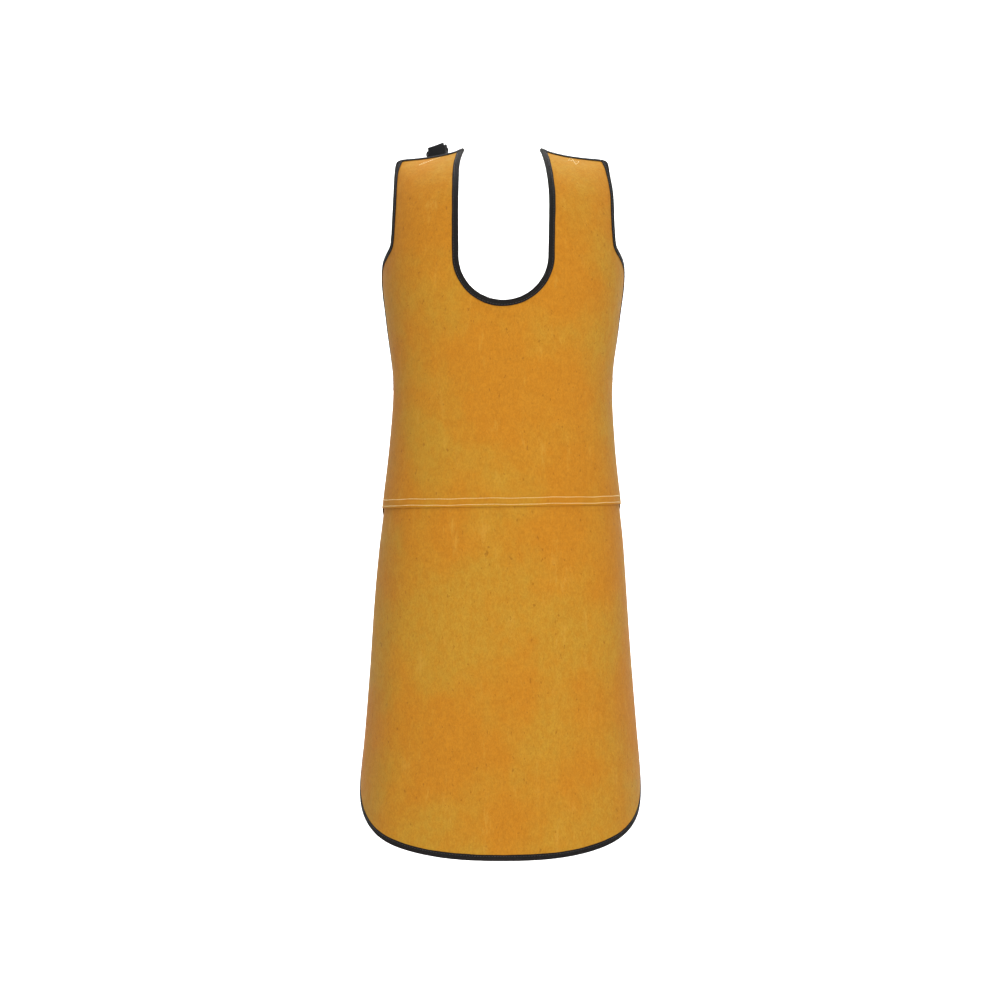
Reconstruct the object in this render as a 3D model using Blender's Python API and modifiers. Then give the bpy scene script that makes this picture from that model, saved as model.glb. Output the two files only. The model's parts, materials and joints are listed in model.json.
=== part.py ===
"""Split-leather welding apron with webbing shoulder straps and a belt, shaped as it is worn.

The origin is midway between the two shoulder crests. +X points to the wearer's left,
+Y to the wearer's back and +Z up. A place on the wearer is given by s, the distance round
the body from the middle, and v, the distance down from the shoulder crest.
"""

import math

import bmesh
import bpy
import numpy as np
from mathutils import Matrix, Vector

MM = 0.001

# Leather: a bib and a skirt, sewn together below the waist
APRON_LENGTH = 1067 * MM  # shoulder crest to hem, along the leather
HEM_HALF_WIDTH = 305 * MM
SEAM_HALF_WIDTH = 264 * MM
WAIST_HALF_WIDTH = 252 * MM
UNDERARM_HALF_WIDTH = 243 * MM
ARMHOLE_HALF_WIDTH = 180 * MM
SHOULDER_HALF_WIDTH = 150 * MM
ARMHOLE_DEPTH = 192 * MM
UNDERARM_DEPTH = 234 * MM
WAIST_DEPTH = 385 * MM
SEAM_DEPTH = 570 * MM
SEAM_OVERLAP = 22 * MM
LEATHER = 1.6 * MM
LAYER_GAP = 1.2 * MM
HEM_CORNER_RISE = 200 * MM
HEM_CORNER_POWER = 2.5
SHOULDER_CORNER_RADIUS = 12 * MM
NECK_DEPTH = 280 * MM
NECK_RADIUS = 65.5 * MM
NECK_TOP_HALF_WIDTH = 57 * MM
NECK_BULGE = 1 * MM

# Binding tape and sewing thread
BINDING_WIDTH = 7 * MM
BINDING_THICKNESS = 0.7 * MM
BINDING_GAP = 1.05 * MM
THREAD_RADIUS = 0.4 * MM
THREAD_LIFT = 1.0 * MM
BINDING_STITCH_INSET = 4.8 * MM
STEP_START = 2 * MM  # where binding and thread step over the seam, past its edges
STEP_RUN = 9 * MM
SEAM_ROW_INSET = 3 * MM
SEAM_ROW_SPACING = 9 * MM
SIDE_BOX = 16 * MM  # the sewn boxes that hold the belt to the leather's sides
BOX_STEPS = 6
BOX_DIAGONAL = 0.82  # of the way to the box's corners
BOX_DIAGONAL_LIFT = 1.2 * MM

# Webbing and where the straps lie
WEBBING_WIDTH = 25 * MM
WEBBING = 1.5 * MM
WEBBING_GAP = 0.4 * MM
SHOULDER_ROUND = 43.4 * MM  # radius over which the flat webbing bridges the leather
FLAT_CLEARANCE = WEBBING_WIDTH ** 2 / (8 * SHOULDER_ROUND)
STRAP_SINK = LEATHER / 2 + BINDING_GAP + BINDING_THICKNESS + FLAT_CLEARANCE  # straps lie this far in
STRAP_CREST = 98 * MM  # sideways place of both shoulder straps at the crest
STRAP_SLANT = 18.0  # degrees from straight back, at the crest
SEWN_LENGTH = 34 * MM
TAB_TOGETHER = 2
TAB_SPREAD = 0.9 * MM
TAB_PAST_CREST = 4 * MM
BUCKLE_PAST_CREST = 20.5 * MM
BUCKLE_TAIL_LIFT = 10 * MM
BUCKLE_END_LIFT = 7 * MM
BUCKLE_BANK = 25.0  # degrees that the shoulder buckle rises towards the neck
STRAP_BEND = 66 * MM  # how far the straps head inward before they turn to run down
STRAP_LOW = 126 * MM  # sideways place of both straps at the belt
BELT_DEPTH = 405 * MM
BELT_UNDER_LEATHER = 32 * MM
BAND_DEPTH = 298 * MM  # the band that joins the two straps across the back
BAND_OVERHANG = 5 * MM
BAND_LIFT = 2.6 * MM  # from the middle of a strap to the middle of the band over it
LOOP_RISE = 30 * MM  # length over which a strap rises to pass outside the belt
LOOP_OUTSIDE = 2.8 * MM + FLAT_CLEARANCE
LOOP_INSIDE = 1.4 * MM + FLAT_CLEARANCE
LOOP_SLACK = 2 * MM
LOOP_BULGE = 2.5 * MM
LOOP_RETURN = 22 * MM
TAIL_LENGTH = 110 * MM
RETURN_LENGTH = 24 * MM

# Side-release buckle for that webbing. In its own frame x runs across the webbing,
# y along it from the socket to the plug with 0 at the socket's mouth, and z outwards.
BUCKLE_HALF_WIDTH = 17 * MM
BUCKLE_THICKNESS = 9 * MM
BUCKLE_ROUNDING = 2.2 * MM
SOCKET_SIDE_WALL = 3.3 * MM
SOCKET_BACK_WALL = 3 * MM
SOCKET_WAIST_RADIUS = 18 * MM  # the finger hollows in the socket's two sides
SOCKET_WAIST_DEPTH = 2.6 * MM
TAIL_INSET = 0.8 * MM
TAIL_ROUNDING = 1.2 * MM
THROUGH = 40 * MM  # length of a cutter that goes right through
SOCKET_LENGTH = 26 * MM
SOCKET_TAIL = 7 * MM
TAIL_BAR = 2.8 * MM
BAR_THICKNESS = 4 * MM
SLOT_SIDE = 0.7 * MM  # clearance of a slot past each edge of the webbing
COLLAR_LENGTH = 4 * MM
WINDOW_LENGTH = 14.5 * MM
PLUG_FLANGE = 2.2 * MM
PLUG_GAP = 0.8 * MM
PLUG_RIM = 2.2 * MM
PLUG_FRONT = PLUG_GAP + PLUG_FLANGE  # where the flange ends and the ladder plate starts
PLUG_NARROWER = 0.3 * MM
PLUG_OVERLAP = 1 * MM
PLUG_CORNER = 2.6 * MM
SLOT_CORNER = 1 * MM
FLANGE_THINNER = 0.2 * MM
FLANGE_ROUNDING = 0.7 * MM
PLATE_THICKNESS = 4.2 * MM
PLUG_LENGTH = 21 * MM
LADDER_BAR = 3 * MM
LADDER_FRONT_SLOT = 4.4 * MM
LADDER_REAR_SLOT = 4.8 * MM
PRONG_THICKNESS = 4.6 * MM
PRONG_PIVOT = (10.2 * MM, -1.6 * MM)
PRONG_ROOT_RADIUS = 2 * MM
PRONG_ARM = ((8.4, -9.0), (9.0, -13.0), (9.8, -17.3), (10.7, -18.8), (12.0, -19.3),
             (13.1, -18.6), (14.9, -16.9), (15.9, -15.4), (15.9, -14.3), (14.9, -12.0),
             (14.1, -9.0), (12.2, -9.0))  # millimetres, round the arm and its catch
GUIDE_HALF_WIDTH = 2.2 * MM
GUIDE_LENGTH = 12 * MM
GUIDE_THICKNESS = 3.6 * MM
GUIDE_ROUNDING = 0.5 * MM
CAVITY_CLEARANCE = 0.6 * MM

# Keeper loops that hold the strap tails
KEEPER_LENGTH = 9 * MM
KEEPER_WALL = 1.4 * MM
KEEPER_CLEARANCE = 1.5 * MM
KEEPER_FROM_BUCKLE = 34 * MM

# The wearer's shape. Tilts are degrees between the surface and the vertical by distance
# down from the crest, and the other sizes go by height below the crest.
FRONT_TILT = ((-40, 108), (0, 70), (30, 62), (62, 49), (120, 28), (190, 14), (250, 2),
              (310, -5), (390, -3), (500, 1), (700, 2), (1100, 2))
BACK_TILT = ((-40, 126), (0, 110), (22, 90), (55, 60), (95, 32), (150, 14), (210, 3),
             (280, -7), (400, -9), (600, 0), (1100, 0))
HALF_WIDTH = ((-60, 154), (0, 156), (75, 167), (130, 172), (185, 175), (250, 169),
              (345, 160.5), (430, 165), (530, 175), (670, 187), (830, 199), (970, 211),
              (1100, 217))
SIDE_PLACE = ((-60, 0), (0, 0), (200, 5), (380, 12), (600, 18), (1030, 34), (1100, 35))
SECTION_POWER = 2.4
SHOULDER_DROP = 19 * MM
SHOULDER_DROP_REACH = 50 * MM
SHOULDER_DROP_FADE = 170 * MM


def smooth_through(points, at):
    """Heights of a smooth curve through (place, height) points that never overshoots them."""
    x, y = np.array(points, float).T
    rise = np.diff(y) / np.diff(x)
    before, after = rise[:-1], rise[1:]
    same_way = before * after > 0
    total = np.where(same_way, before + after, 1)
    inner = np.where(same_way, 2 * before * after / total, 0)
    slope = np.concatenate([rise[:1], inner, rise[-1:]])
    at = np.clip(np.asarray(at, float), x[0], x[-1])
    i = np.clip(np.searchsorted(x, at) - 1, 0, len(x) - 2)
    step = x[i + 1] - x[i]
    t = (at - x[i]) / step
    return (
        (1 + 2 * t) * (1 - t) ** 2 * y[i]
        + t * (1 - t) ** 2 * step * slope[i]
        + t * t * (3 - 2 * t) * y[i + 1]
        + t * t * (t - 1) * step * slope[i + 1]
    )


def ease(t):
    """0 below 0, 1 above 1 and smooth between."""
    t = np.clip(t, 0, 1)
    return t * t * (3 - 2 * t)


def unit(vectors):
    vectors = np.asarray(vectors, float)
    return vectors / np.linalg.norm(vectors, axis=-1, keepdims=True)


class WornSurface:
    """The wearer's front or back as a table of points by s, round the body, and v, down it."""

    ROW = 3 * MM
    COLUMN = 2 * MM
    ROUND = 420 * MM

    def __init__(self, tilt, other_tilt, facing):
        self.facing = facing
        v, height, depth = self.profile(tilt)
        _, other_height, other_depth = self.profile(other_tilt)
        down = -height / MM
        half = smooth_through(HALF_WIDTH, down) * MM
        side = smooth_through(SIDE_PLACE, down) * MM
        across_order = np.argsort(-other_height)
        other = np.interp(-height, -other_height[across_order], other_depth[across_order])
        near = depth - facing * side
        far = other + facing * side
        turn = np.linspace(0, 0.94 * math.pi, 400)
        power = 2 / SECTION_POWER
        across = np.sin(turn) ** power
        along = np.sign(np.cos(turn)) * np.abs(np.cos(turn)) ** power
        self.v0 = v[0]
        self.height = height
        columns = np.arange(0, self.ROUND, self.COLUMN)
        self.x = np.empty((len(v), len(columns)))
        self.y = np.empty_like(self.x)
        for k in range(len(v)):
            x = half[k] * across
            reach = np.where(along > 0, near[k], max(far[k], 60 * MM))
            y = side[k] + facing * reach * along
            round_it = np.concatenate([[0], np.cumsum(np.hypot(np.diff(x), np.diff(y)))])
            self.x[k] = np.interp(columns, round_it, x)
            self.y[k] = np.interp(columns, round_it, y)

    def profile(self, tilt):
        """Height and depth of the middle line, from its tilt."""
        v = np.arange(-36 * MM, 1340 * MM, self.ROW)
        angle = np.radians(smooth_through(tilt, v / MM))
        depth = np.concatenate([[0], np.cumsum((np.sin(angle[1:]) + np.sin(angle[:-1])) / 2)])
        height = -np.concatenate([[0], np.cumsum((np.cos(angle[1:]) + np.cos(angle[:-1])) / 2)])
        crest = int(round(-v[0] / self.ROW))
        return v, (height - height[crest]) * self.ROW, (depth - depth[crest]) * self.ROW

    def on_skin(self, s, v):
        """Points of the surface itself."""
        s, v = np.broadcast_arrays(np.asarray(s, float), np.asarray(v, float))
        row = np.clip((v - self.v0) / self.ROW, 0, len(self.x) - 1.001)
        column = np.clip(np.abs(s) / self.COLUMN, 0, self.x.shape[1] - 1.001)
        i, j = row.astype(int), column.astype(int)
        a, b = row - i, column - j

        def read(table):
            upper = table[i, j] * (1 - b) + table[i, j + 1] * b
            lower = table[i + 1, j] * (1 - b) + table[i + 1, j + 1] * b
            return upper * (1 - a) + lower * a

        x = read(self.x)
        z = self.height[i] * (1 - a) + self.height[i + 1] * a
        past_neck = np.maximum(x - NECK_TOP_HALF_WIDTH, 0)
        drop = SHOULDER_DROP * (1 - np.exp(-past_neck / SHOULDER_DROP_REACH))
        z = z - drop * (1 - ease(np.abs(v) / SHOULDER_DROP_FADE))
        return np.stack([np.sign(s) * x, read(self.y), z], axis=-1)

    def normal(self, s, v):
        """Directions straight out of the surface."""
        near = 4 * MM
        along_s = self.on_skin(np.add(s, near), v) - self.on_skin(np.subtract(s, near), v)
        along_v = self.on_skin(s, np.add(v, near)) - self.on_skin(s, np.subtract(v, near))
        return unit(np.cross(along_s, along_v) * self.facing)

    def at(self, s, v, lift=0.0):
        """Points lifted off the surface."""
        lift = np.asarray(lift, float)[..., None] if np.ndim(lift) else lift
        return self.on_skin(s, v) + lift * self.normal(s, v)


FRONT = WornSurface(FRONT_TILT, BACK_TILT, -1)
BACK = WornSurface(BACK_TILT, FRONT_TILT, 1)

# The outline of the leather, flat: half width by distance down
SIDE_OUTLINE = (
    (0, SHOULDER_HALF_WIDTH),
    (ARMHOLE_DEPTH / 2, (SHOULDER_HALF_WIDTH + ARMHOLE_HALF_WIDTH) / 2 + 5 * MM),
    (ARMHOLE_DEPTH, ARMHOLE_HALF_WIDTH),
    (UNDERARM_DEPTH, UNDERARM_HALF_WIDTH),
    (WAIST_DEPTH, WAIST_HALF_WIDTH),
    (SEAM_DEPTH, SEAM_HALF_WIDTH),
    (APRON_LENGTH - HEM_CORNER_RISE, (SEAM_HALF_WIDTH + 3 * HEM_HALF_WIDTH) / 4),
    (APRON_LENGTH, HEM_HALF_WIDTH),
)
SIDE_STATIONS = 34  # points down each side of the bib
NECK_BOTTOM_DENSITY = 2.9  # keeps the bib's rows square to the armhole's inner corner
BIB_ROWS = 12
SKIRT_ROW_SPACING = 41.4 * MM
SKIRT_ROWS = round((APRON_LENGTH - SEAM_DEPTH) / SKIRT_ROW_SPACING) + 1
SKIRT_COLUMN_SPACING = 21.8 * MM  # at the hem, each side of the middle
SKIRT_COLUMNS = 2 * round(HEM_HALF_WIDTH / SKIRT_COLUMN_SPACING) + 1
SKIRT_SINK = LEATHER + LAYER_GAP
SKIRT_TOP = SEAM_DEPTH - SEAM_OVERLAP


def half_width(v):
    return smooth_through(SIDE_OUTLINE, v)


def resample(points, count, density=1.0):
    """The same line with evenly spaced points, or closer ones where the density is higher."""
    points = np.asarray(points, float)
    step = np.linalg.norm(np.diff(points, axis=0), axis=1) * density
    along = np.concatenate([[0], np.cumsum(step)])
    at = np.linspace(0, along[-1], count)
    return np.stack([np.interp(at, along, points[:, k]) for k in range(points.shape[1])], 1)


def neck_edge(count):
    """Half of the neck line as (s, v), from the shoulder to the middle of the chest."""
    centre = NECK_DEPTH - NECK_RADIUS
    v = np.linspace(0, centre, 40)
    widest = NECK_RADIUS + NECK_BULGE
    leg = ((0, NECK_TOP_HALF_WIDTH), (0.35 * centre, widest - 2 * MM), (0.62 * centre, widest),
           (centre, NECK_RADIUS))
    turn = np.linspace(0, math.pi / 2, 60)[1:]
    arc = np.stack([NECK_RADIUS * np.cos(turn), centre + NECK_RADIUS * np.sin(turn)], 1)
    line = np.vstack([np.stack([smooth_through(leg, v), v], 1), arc])
    return resample(line, count, np.where(line[1:, 1] < centre, 1.0, NECK_BOTTOM_DENSITY))


def side_edge(count):
    """The rounded shoulder corner, the armhole and the side down to the seam, as (s, v)."""
    r = SHOULDER_CORNER_RADIUS
    turn = np.linspace(0, math.pi / 2, 12)
    corner_s = float(half_width(r)) - r
    corner = np.stack([corner_s + r * np.sin(turn), r - r * np.cos(turn)], 1)
    v = np.linspace(r, SEAM_DEPTH, 200)[1:]
    line = np.vstack([corner, np.stack([half_width(v), v], 1)])
    curved = UNDERARM_DEPTH + 20 * MM
    return resample(line, count, np.where(line[1:, 1] < curved, 2.2, 1.0))


def cosine_steps(count):
    """0 to 1 in steps that are short near both ends."""
    return (1 - np.cos(np.linspace(0, math.pi, count))) / 2


# ---------------------------------------------------------------- making objects


def make_collection(name):
    collection = bpy.data.collections.new(name)
    bpy.context.scene.collection.children.link(collection)
    return collection


def make_material(name, colour, roughness, metallic=0.0):
    material = bpy.data.materials.new(name)
    material.use_nodes = True
    shader = material.node_tree.nodes["Principled BSDF"]
    shader.inputs["Base Color"].default_value = (*colour, 1)
    shader.inputs["Roughness"].default_value = roughness
    shader.inputs["Metallic"].default_value = metallic
    return material


def finish(obj, material, smooth=True):
    """Puts the object among the parts, with its material."""
    for collection in list(obj.users_collection):
        collection.objects.unlink(obj)
    PARTS.objects.link(obj)
    obj.data.materials.clear()
    obj.data.materials.append(material)
    if smooth and obj.type == "MESH":
        obj.data.shade_smooth()
        obj.data.set_sharp_from_angle(angle=math.radians(40))
    return obj


def sheet(name, points, material):
    """A grid of the given rows of points, as an open surface."""
    points = np.asarray(points, float)
    rows, columns = points.shape[:2]
    bm = bmesh.new()
    bmesh.ops.create_grid(bm, x_segments=columns - 1, y_segments=rows - 1, size=1)
    mesh = bpy.data.meshes.new(name)
    bm.to_mesh(mesh)
    bm.free()
    mesh.vertices.foreach_set("co", points.reshape(-1, 3).astype(np.float32).ravel())
    mesh.update()
    obj = bpy.data.objects.new(name, mesh)
    return finish(obj, material)


def thicken(obj, thickness, offset=0.0):
    """Gives an open surface its wall. Offset 0 is to both sides, 1 all outwards."""
    modifier = obj.modifiers.new("Wall", "SOLIDIFY")
    modifier.thickness = thickness
    modifier.offset = offset
    modifier.use_even_offset = False
    return obj


def mirror_across_middle(obj):
    modifier = obj.modifiers.new("Other half", "MIRROR")
    modifier.use_axis = (True, False, False)
    modifier.merge_threshold = 0.00005
    return obj


def wire(name, points, radius, material, sides=0):
    """A thread or a round wire through the given points."""
    curve = bpy.data.curves.new(name, "CURVE")
    curve.dimensions = "3D"
    curve.bevel_depth = radius
    curve.bevel_resolution = sides
    curve.use_fill_caps = True
    spline = curve.splines.new("POLY")
    spline.points.add(len(points) - 1)
    for point, place in zip(spline.points, points):
        point.co = (*place, 1)
    return finish(bpy.data.objects.new(name, curve), material)


def flat_plate(name, outlines, thickness):
    """A plate from closed 2D outlines: the first is its edge and the others are holes."""
    curve = bpy.data.curves.new(name, "CURVE")
    curve.dimensions = "2D"
    curve.fill_mode = "BOTH"
    curve.extrude = thickness / 2
    for outline in outlines:
        spline = curve.splines.new("POLY")
        spline.points.add(len(outline) - 1)
        for point, (x, y) in zip(spline.points, outline):
            point.co = (x, y, 0, 1)
        spline.use_cyclic_u = True
    obj = bpy.data.objects.new(name, curve)
    bpy.context.scene.collection.objects.link(obj)
    return meshed(obj)


def meshed(obj):
    """The object's evaluated shape as a plain mesh object in its place."""
    bpy.context.view_layer.update()
    graph = bpy.context.evaluated_depsgraph_get()
    mesh = bpy.data.meshes.new_from_object(obj.evaluated_get(graph))
    bm = bmesh.new()
    bm.from_mesh(mesh)
    bmesh.ops.remove_doubles(bm, verts=bm.verts, dist=0.000001)
    bm.to_mesh(mesh)
    bm.free()
    made = bpy.data.objects.new(obj.name, mesh)
    made.matrix_world = obj.matrix_world
    bpy.context.scene.collection.objects.link(made)
    bpy.data.objects.remove(obj)
    return made


def block(name, low, high, bevel=0.0, segments=2):
    """A box between two corners, with rounded edges."""
    bm = bmesh.new()
    bmesh.ops.create_cube(bm, size=1)
    low, high = Vector(low), Vector(high)
    for vertex in bm.verts:
        for k in range(3):
            vertex.co[k] = high[k] if vertex.co[k] > 0 else low[k]
    mesh = bpy.data.meshes.new(name)
    bm.to_mesh(mesh)
    bm.free()
    obj = bpy.data.objects.new(name, mesh)
    bpy.context.scene.collection.objects.link(obj)
    if bevel:
        modifier = obj.modifiers.new("Rounding", "BEVEL")
        modifier.width = bevel
        modifier.segments = segments
        modifier.limit_method = "ANGLE"
    return obj


def drum(name, radius, height, centre, sides=32):
    """An upright cylinder."""
    bm = bmesh.new()
    bmesh.ops.create_cone(bm, cap_ends=True, segments=sides, radius1=radius, radius2=radius,
                          depth=height, matrix=Matrix.Translation(centre))
    mesh = bpy.data.meshes.new(name)
    bm.to_mesh(mesh)
    bm.free()
    obj = bpy.data.objects.new(name, mesh)
    bpy.context.scene.collection.objects.link(obj)
    return obj


def combine(obj, others, operation):
    """Cuts the others from the object, or joins them to it, and clears them away."""
    for other in others:
        modifier = obj.modifiers.new(operation.title(), "BOOLEAN")
        modifier.operation = operation
        modifier.solver = "EXACT"
        modifier.object = other
    made = meshed(obj)
    for other in others:
        bpy.data.objects.remove(other)
    return made


# ---------------------------------------------------------------- leather


def skirt_columns():
    """Places across the skirt as shares of its half width, closer together at its sides."""
    return np.sin(np.linspace(-1, 1, SKIRT_COLUMNS) * math.pi / 2)


def bib_outline():
    """Half of the bib's outer edge, down the side and along the seam to the middle."""
    share = skirt_columns()[::-1]
    bottom_s = share[share > -1e-9][1:] * float(half_width(SEAM_DEPTH))
    bottom = np.stack([bottom_s, np.full_like(bottom_s, SEAM_DEPTH)], 1)
    return np.vstack([side_edge(SIDE_STATIONS), bottom])


def band_rows(inner, outer):
    """Rows from one line of points to another, with two rows close beside each of them."""
    length = np.linalg.norm(outer - inner, axis=1)
    near = BINDING_WIDTH * np.array([0, 0.55, 1.1])[:, None] / length
    between = near[-1] + (1 - 2 * near[-1]) * cosine_steps(BIB_ROWS - 4)[1:-1, None]
    share = np.vstack([near, between, 1 - near[::-1]])[..., None]
    return inner * (1 - share) + outer * share


def bib_panel(material):
    """The upper panel: a band from the neck line out to the armhole, side and seam."""
    outer = bib_outline()
    inner = neck_edge(len(outer))
    flat = band_rows(inner, outer)
    panel = sheet("bib_panel", FRONT.at(flat[..., 0], flat[..., 1]), material)
    mirror_across_middle(panel)
    return thicken(panel, LEATHER)


def hem_depth(share):
    """Distance down to the hem, by share of the half width."""
    level = np.clip(1 - np.abs(share) ** HEM_CORNER_POWER, 0, 1) ** (1 / HEM_CORNER_POWER)
    return APRON_LENGTH - HEM_CORNER_RISE * (1 - level)


def skirt_rows(hem):
    """Distances down for the skirt's rows, hem first, for each place's own hem depth."""
    return SKIRT_TOP + cosine_steps(SKIRT_ROWS)[::-1, None] * (np.asarray(hem) - SKIRT_TOP)


def skirt_panel(material):
    """The lower panel, whose top edge lies behind the bib."""
    share = skirt_columns()
    v = skirt_rows(hem_depth(share))
    s = share * half_width(v)
    panel = sheet("skirt_panel", FRONT.at(s, v, np.full_like(v, -SKIRT_SINK)), material)
    return thicken(panel, LEATHER)


# ---------------------------------------------------------------- binding and thread


def inward_of(path, inside):
    """Unit directions in the flat leather from an edge towards the leather."""
    tangent = unit(np.gradient(path, axis=0))
    across = np.stack([-tangent[:, 1], tangent[:, 0]], 1)
    middle = len(path) // 2
    return across if np.dot(across[middle], inside - path[middle]) > 0 else -across


def outer_skin(v):
    """How far out the leather's outer face is: the bib's, then the skirt's."""
    return LEATHER / 2 - SKIRT_SINK * ease((v - SEAM_DEPTH - STEP_START) / STEP_RUN)


def inner_skin(v):
    """How far out the leather's inner face is, with the skirt's top edge behind the bib."""
    return -LEATHER / 2 - SKIRT_SINK * ease((v - SKIRT_TOP + STEP_START + STEP_RUN) / STEP_RUN)


def tape(name, path, inside, material):
    """Binding tape folded over an edge of the leather."""
    inward = inward_of(path, np.asarray(inside))
    outer = outer_skin(path[:, 1]) + BINDING_GAP
    inner = inner_skin(path[:, 1]) - BINDING_GAP
    middle, half = (outer + inner) / 2, (outer - inner) / 2
    rows = []
    for inset, side in ((BINDING_WIDTH, 1), (-0.5 * MM, 1), (-1.3 * MM, 0), (-0.5 * MM, -1),
                        (BINDING_WIDTH, -1)):
        flat = path + inward * inset
        rows.append(FRONT.at(flat[:, 0], flat[:, 1], middle + side * half))
    grid = np.array(rows)
    cross = np.cross(grid[0, 1] - grid[0, 0], grid[1, 0] - grid[0, 0])
    if np.dot(cross, FRONT.normal(*path[0])) < 0:
        grid = grid[::-1]
    return thicken(sheet(name, grid, material), BINDING_THICKNESS, 1)


def whole_edge():
    """The outer edge as (s, v), from one shoulder's end round the hem to the other's."""
    side = side_edge(SIDE_STATIONS)
    shoulder_end = band_rows(neck_edge(2)[:1], side[:1])[:-1, 0]
    shoulder_end = shoulder_end[shoulder_end[:, 0] > NECK_TOP_HALF_WIDTH + BINDING_WIDTH + 2 * MM]
    steps = [SKIRT_TOP - STEP_START - STEP_RUN, SKIRT_TOP - STEP_START]
    steps += [SEAM_DEPTH + STEP_START, SEAM_DEPTH + STEP_START + STEP_RUN]
    v = np.concatenate([side[:, 1], steps, skirt_rows([hem_depth(1)])[:, 0]])
    v = np.unique(v[v > (side[-4, 1])])
    skirt_side = np.stack([half_width(v), v], 1)
    share = skirt_columns()[::-1]
    share = share[share > 1e-9][1:]
    hem_v = hem_depth(share)
    hem = np.stack([share * half_width(hem_v), hem_v], 1)
    half = np.vstack([shoulder_end, side[:-3], skirt_side, hem])
    middle = np.array([[0, float(hem_depth(0))]])
    return np.vstack([half, middle, half[::-1] * (-1, 1)])


def neck_path():
    half = neck_edge(len(bib_outline()))
    return np.vstack([half, half[-2::-1] * (-1, 1)])


def stitch_line(name, flat, lift, material):
    return wire(name, FRONT.at(flat[:, 0], flat[:, 1], lift), THREAD_RADIUS, material)


def stitches(material, binding_material):
    """The rows of thread on the leather and on the binding."""
    clear = THREAD_RADIUS + THREAD_LIFT
    for name, inset in (("waist_thread_lower", SEAM_ROW_INSET),
                        ("waist_thread_upper", SEAM_ROW_INSET + SEAM_ROW_SPACING)):
        v = SEAM_DEPTH - inset
        reach = float(half_width(v)) - BINDING_WIDTH - 2 * MM
        s = np.linspace(-reach, reach, 50)
        flat = np.stack([s, np.full_like(s, v)], 1)
        stitch_line(name, flat, LEATHER / 2 + clear, material)
    on_tape = BINDING_GAP + BINDING_THICKNESS + clear
    for name, path, inside in (("neck_thread", neck_path(), (0, SEAM_DEPTH)),
                               ("edge_thread", whole_edge(), (0, 0))):
        flat = (path + inward_of(path, np.asarray(inside)) * BINDING_STITCH_INSET)[1:-1]
        stitch_line(name, flat, outer_skin(flat[:, 1]) + on_tape, binding_material)


# ---------------------------------------------------------------- straps


def frames_along(points, outwards):
    """Unit vectors across a strap, from its line and the way out of the wearer."""
    tangent = unit(np.gradient(points, axis=0))
    return unit(np.cross(tangent, outwards))


def strip(name, points, across, material, width=WEBBING_WIDTH, thickness=WEBBING):
    """A flat webbing along a line of points."""
    points, across = np.asarray(points), np.asarray(across)
    grid = np.array([points - across * width / 2, points + across * width / 2])
    return thicken(sheet(name, grid, material), thickness)


def strap_plan(count):
    """The right strap's line on the wearer's back as (s, v), shoulder to waist belt."""
    slant = math.radians(STRAP_SLANT)
    start = np.array([-STRAP_CREST, 0])
    end = np.array([-STRAP_LOW, BELT_DEPTH + WEBBING_WIDTH / 2 + LOOP_SLACK])
    bend = start + STRAP_BEND * np.array([math.sin(slant), math.cos(slant)])
    t = np.linspace(0, 1, 80)[:, None]
    return resample((1 - t) ** 2 * start + 2 * t * (1 - t) * bend + t * t * end, count)


def strap_rise(v):
    """How far a strap rises off its usual place, to pass outside the waist belt."""
    top = BELT_DEPTH - WEBBING_WIDTH / 2 - LOOP_RISE
    return LOOP_OUTSIDE * ease((np.asarray(v) - top) / LOOP_RISE)


def belt_loop(s, v):
    """A strap's turn below the belt and back up inside it, from the run's end at (s, v)."""
    turn = np.linspace(0, math.pi, 8)[1:]
    middle, half = (LOOP_OUTSIDE - LOOP_INSIDE) / 2, (LOOP_OUTSIDE + LOOP_INSIDE) / 2
    belt_top = BELT_DEPTH - WEBBING_WIDTH / 2
    up = np.linspace(v, belt_top - LOOP_RETURN, 10)[1:]
    closing = ease((belt_top - up) / LOOP_RETURN)
    beside = strap_rise(up) - LAYER - WEBBING_GAP
    inside = -LOOP_INSIDE + closing * (beside + LOOP_INSIDE)
    depth = np.concatenate([v + LOOP_BULGE * np.sin(turn), up])
    lift = np.concatenate([middle + half * np.cos(turn), inside]) - STRAP_SINK
    return BACK.at(np.full_like(depth, s), depth, lift)


def front_depth(v):
    """The distance down the front that is level with the given distance down the back."""
    z = BACK.height[int(round((v - BACK.v0) / BACK.ROW))]
    below_shoulder = 40
    row = int(np.argmin(np.abs(FRONT.height[below_shoulder:] - z))) + below_shoulder
    return FRONT.v0 + row * FRONT.ROW


def back_edge(v):
    """The leather's side edge as distance round from the middle of the back."""
    edge = FRONT.on_skin(half_width(front_depth(v)), front_depth(v))
    round_it = np.arange(0, BACK.ROUND - BACK.COLUMN, BACK.COLUMN)
    places = BACK.on_skin(round_it, np.full_like(round_it, v))
    return float(round_it[np.argmin(np.hypot(places[:, 0] - edge[0], places[:, 1] - edge[1]))])


def sewn_run(count, sink, past=0.0):
    """The strap's end under the leather's shoulder, running up to the crest or past it."""
    slant = math.radians(STRAP_SLANT)
    length = np.linspace(SEWN_LENGTH, -past, count)
    s = -STRAP_CREST - length * math.sin(slant)
    v = length * math.cos(slant)
    return FRONT.at(s, v, np.full(count, -sink)), FRONT.normal(s, v)


def mirrored(points):
    return np.asarray(points) * (-1, 1, 1)


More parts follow.
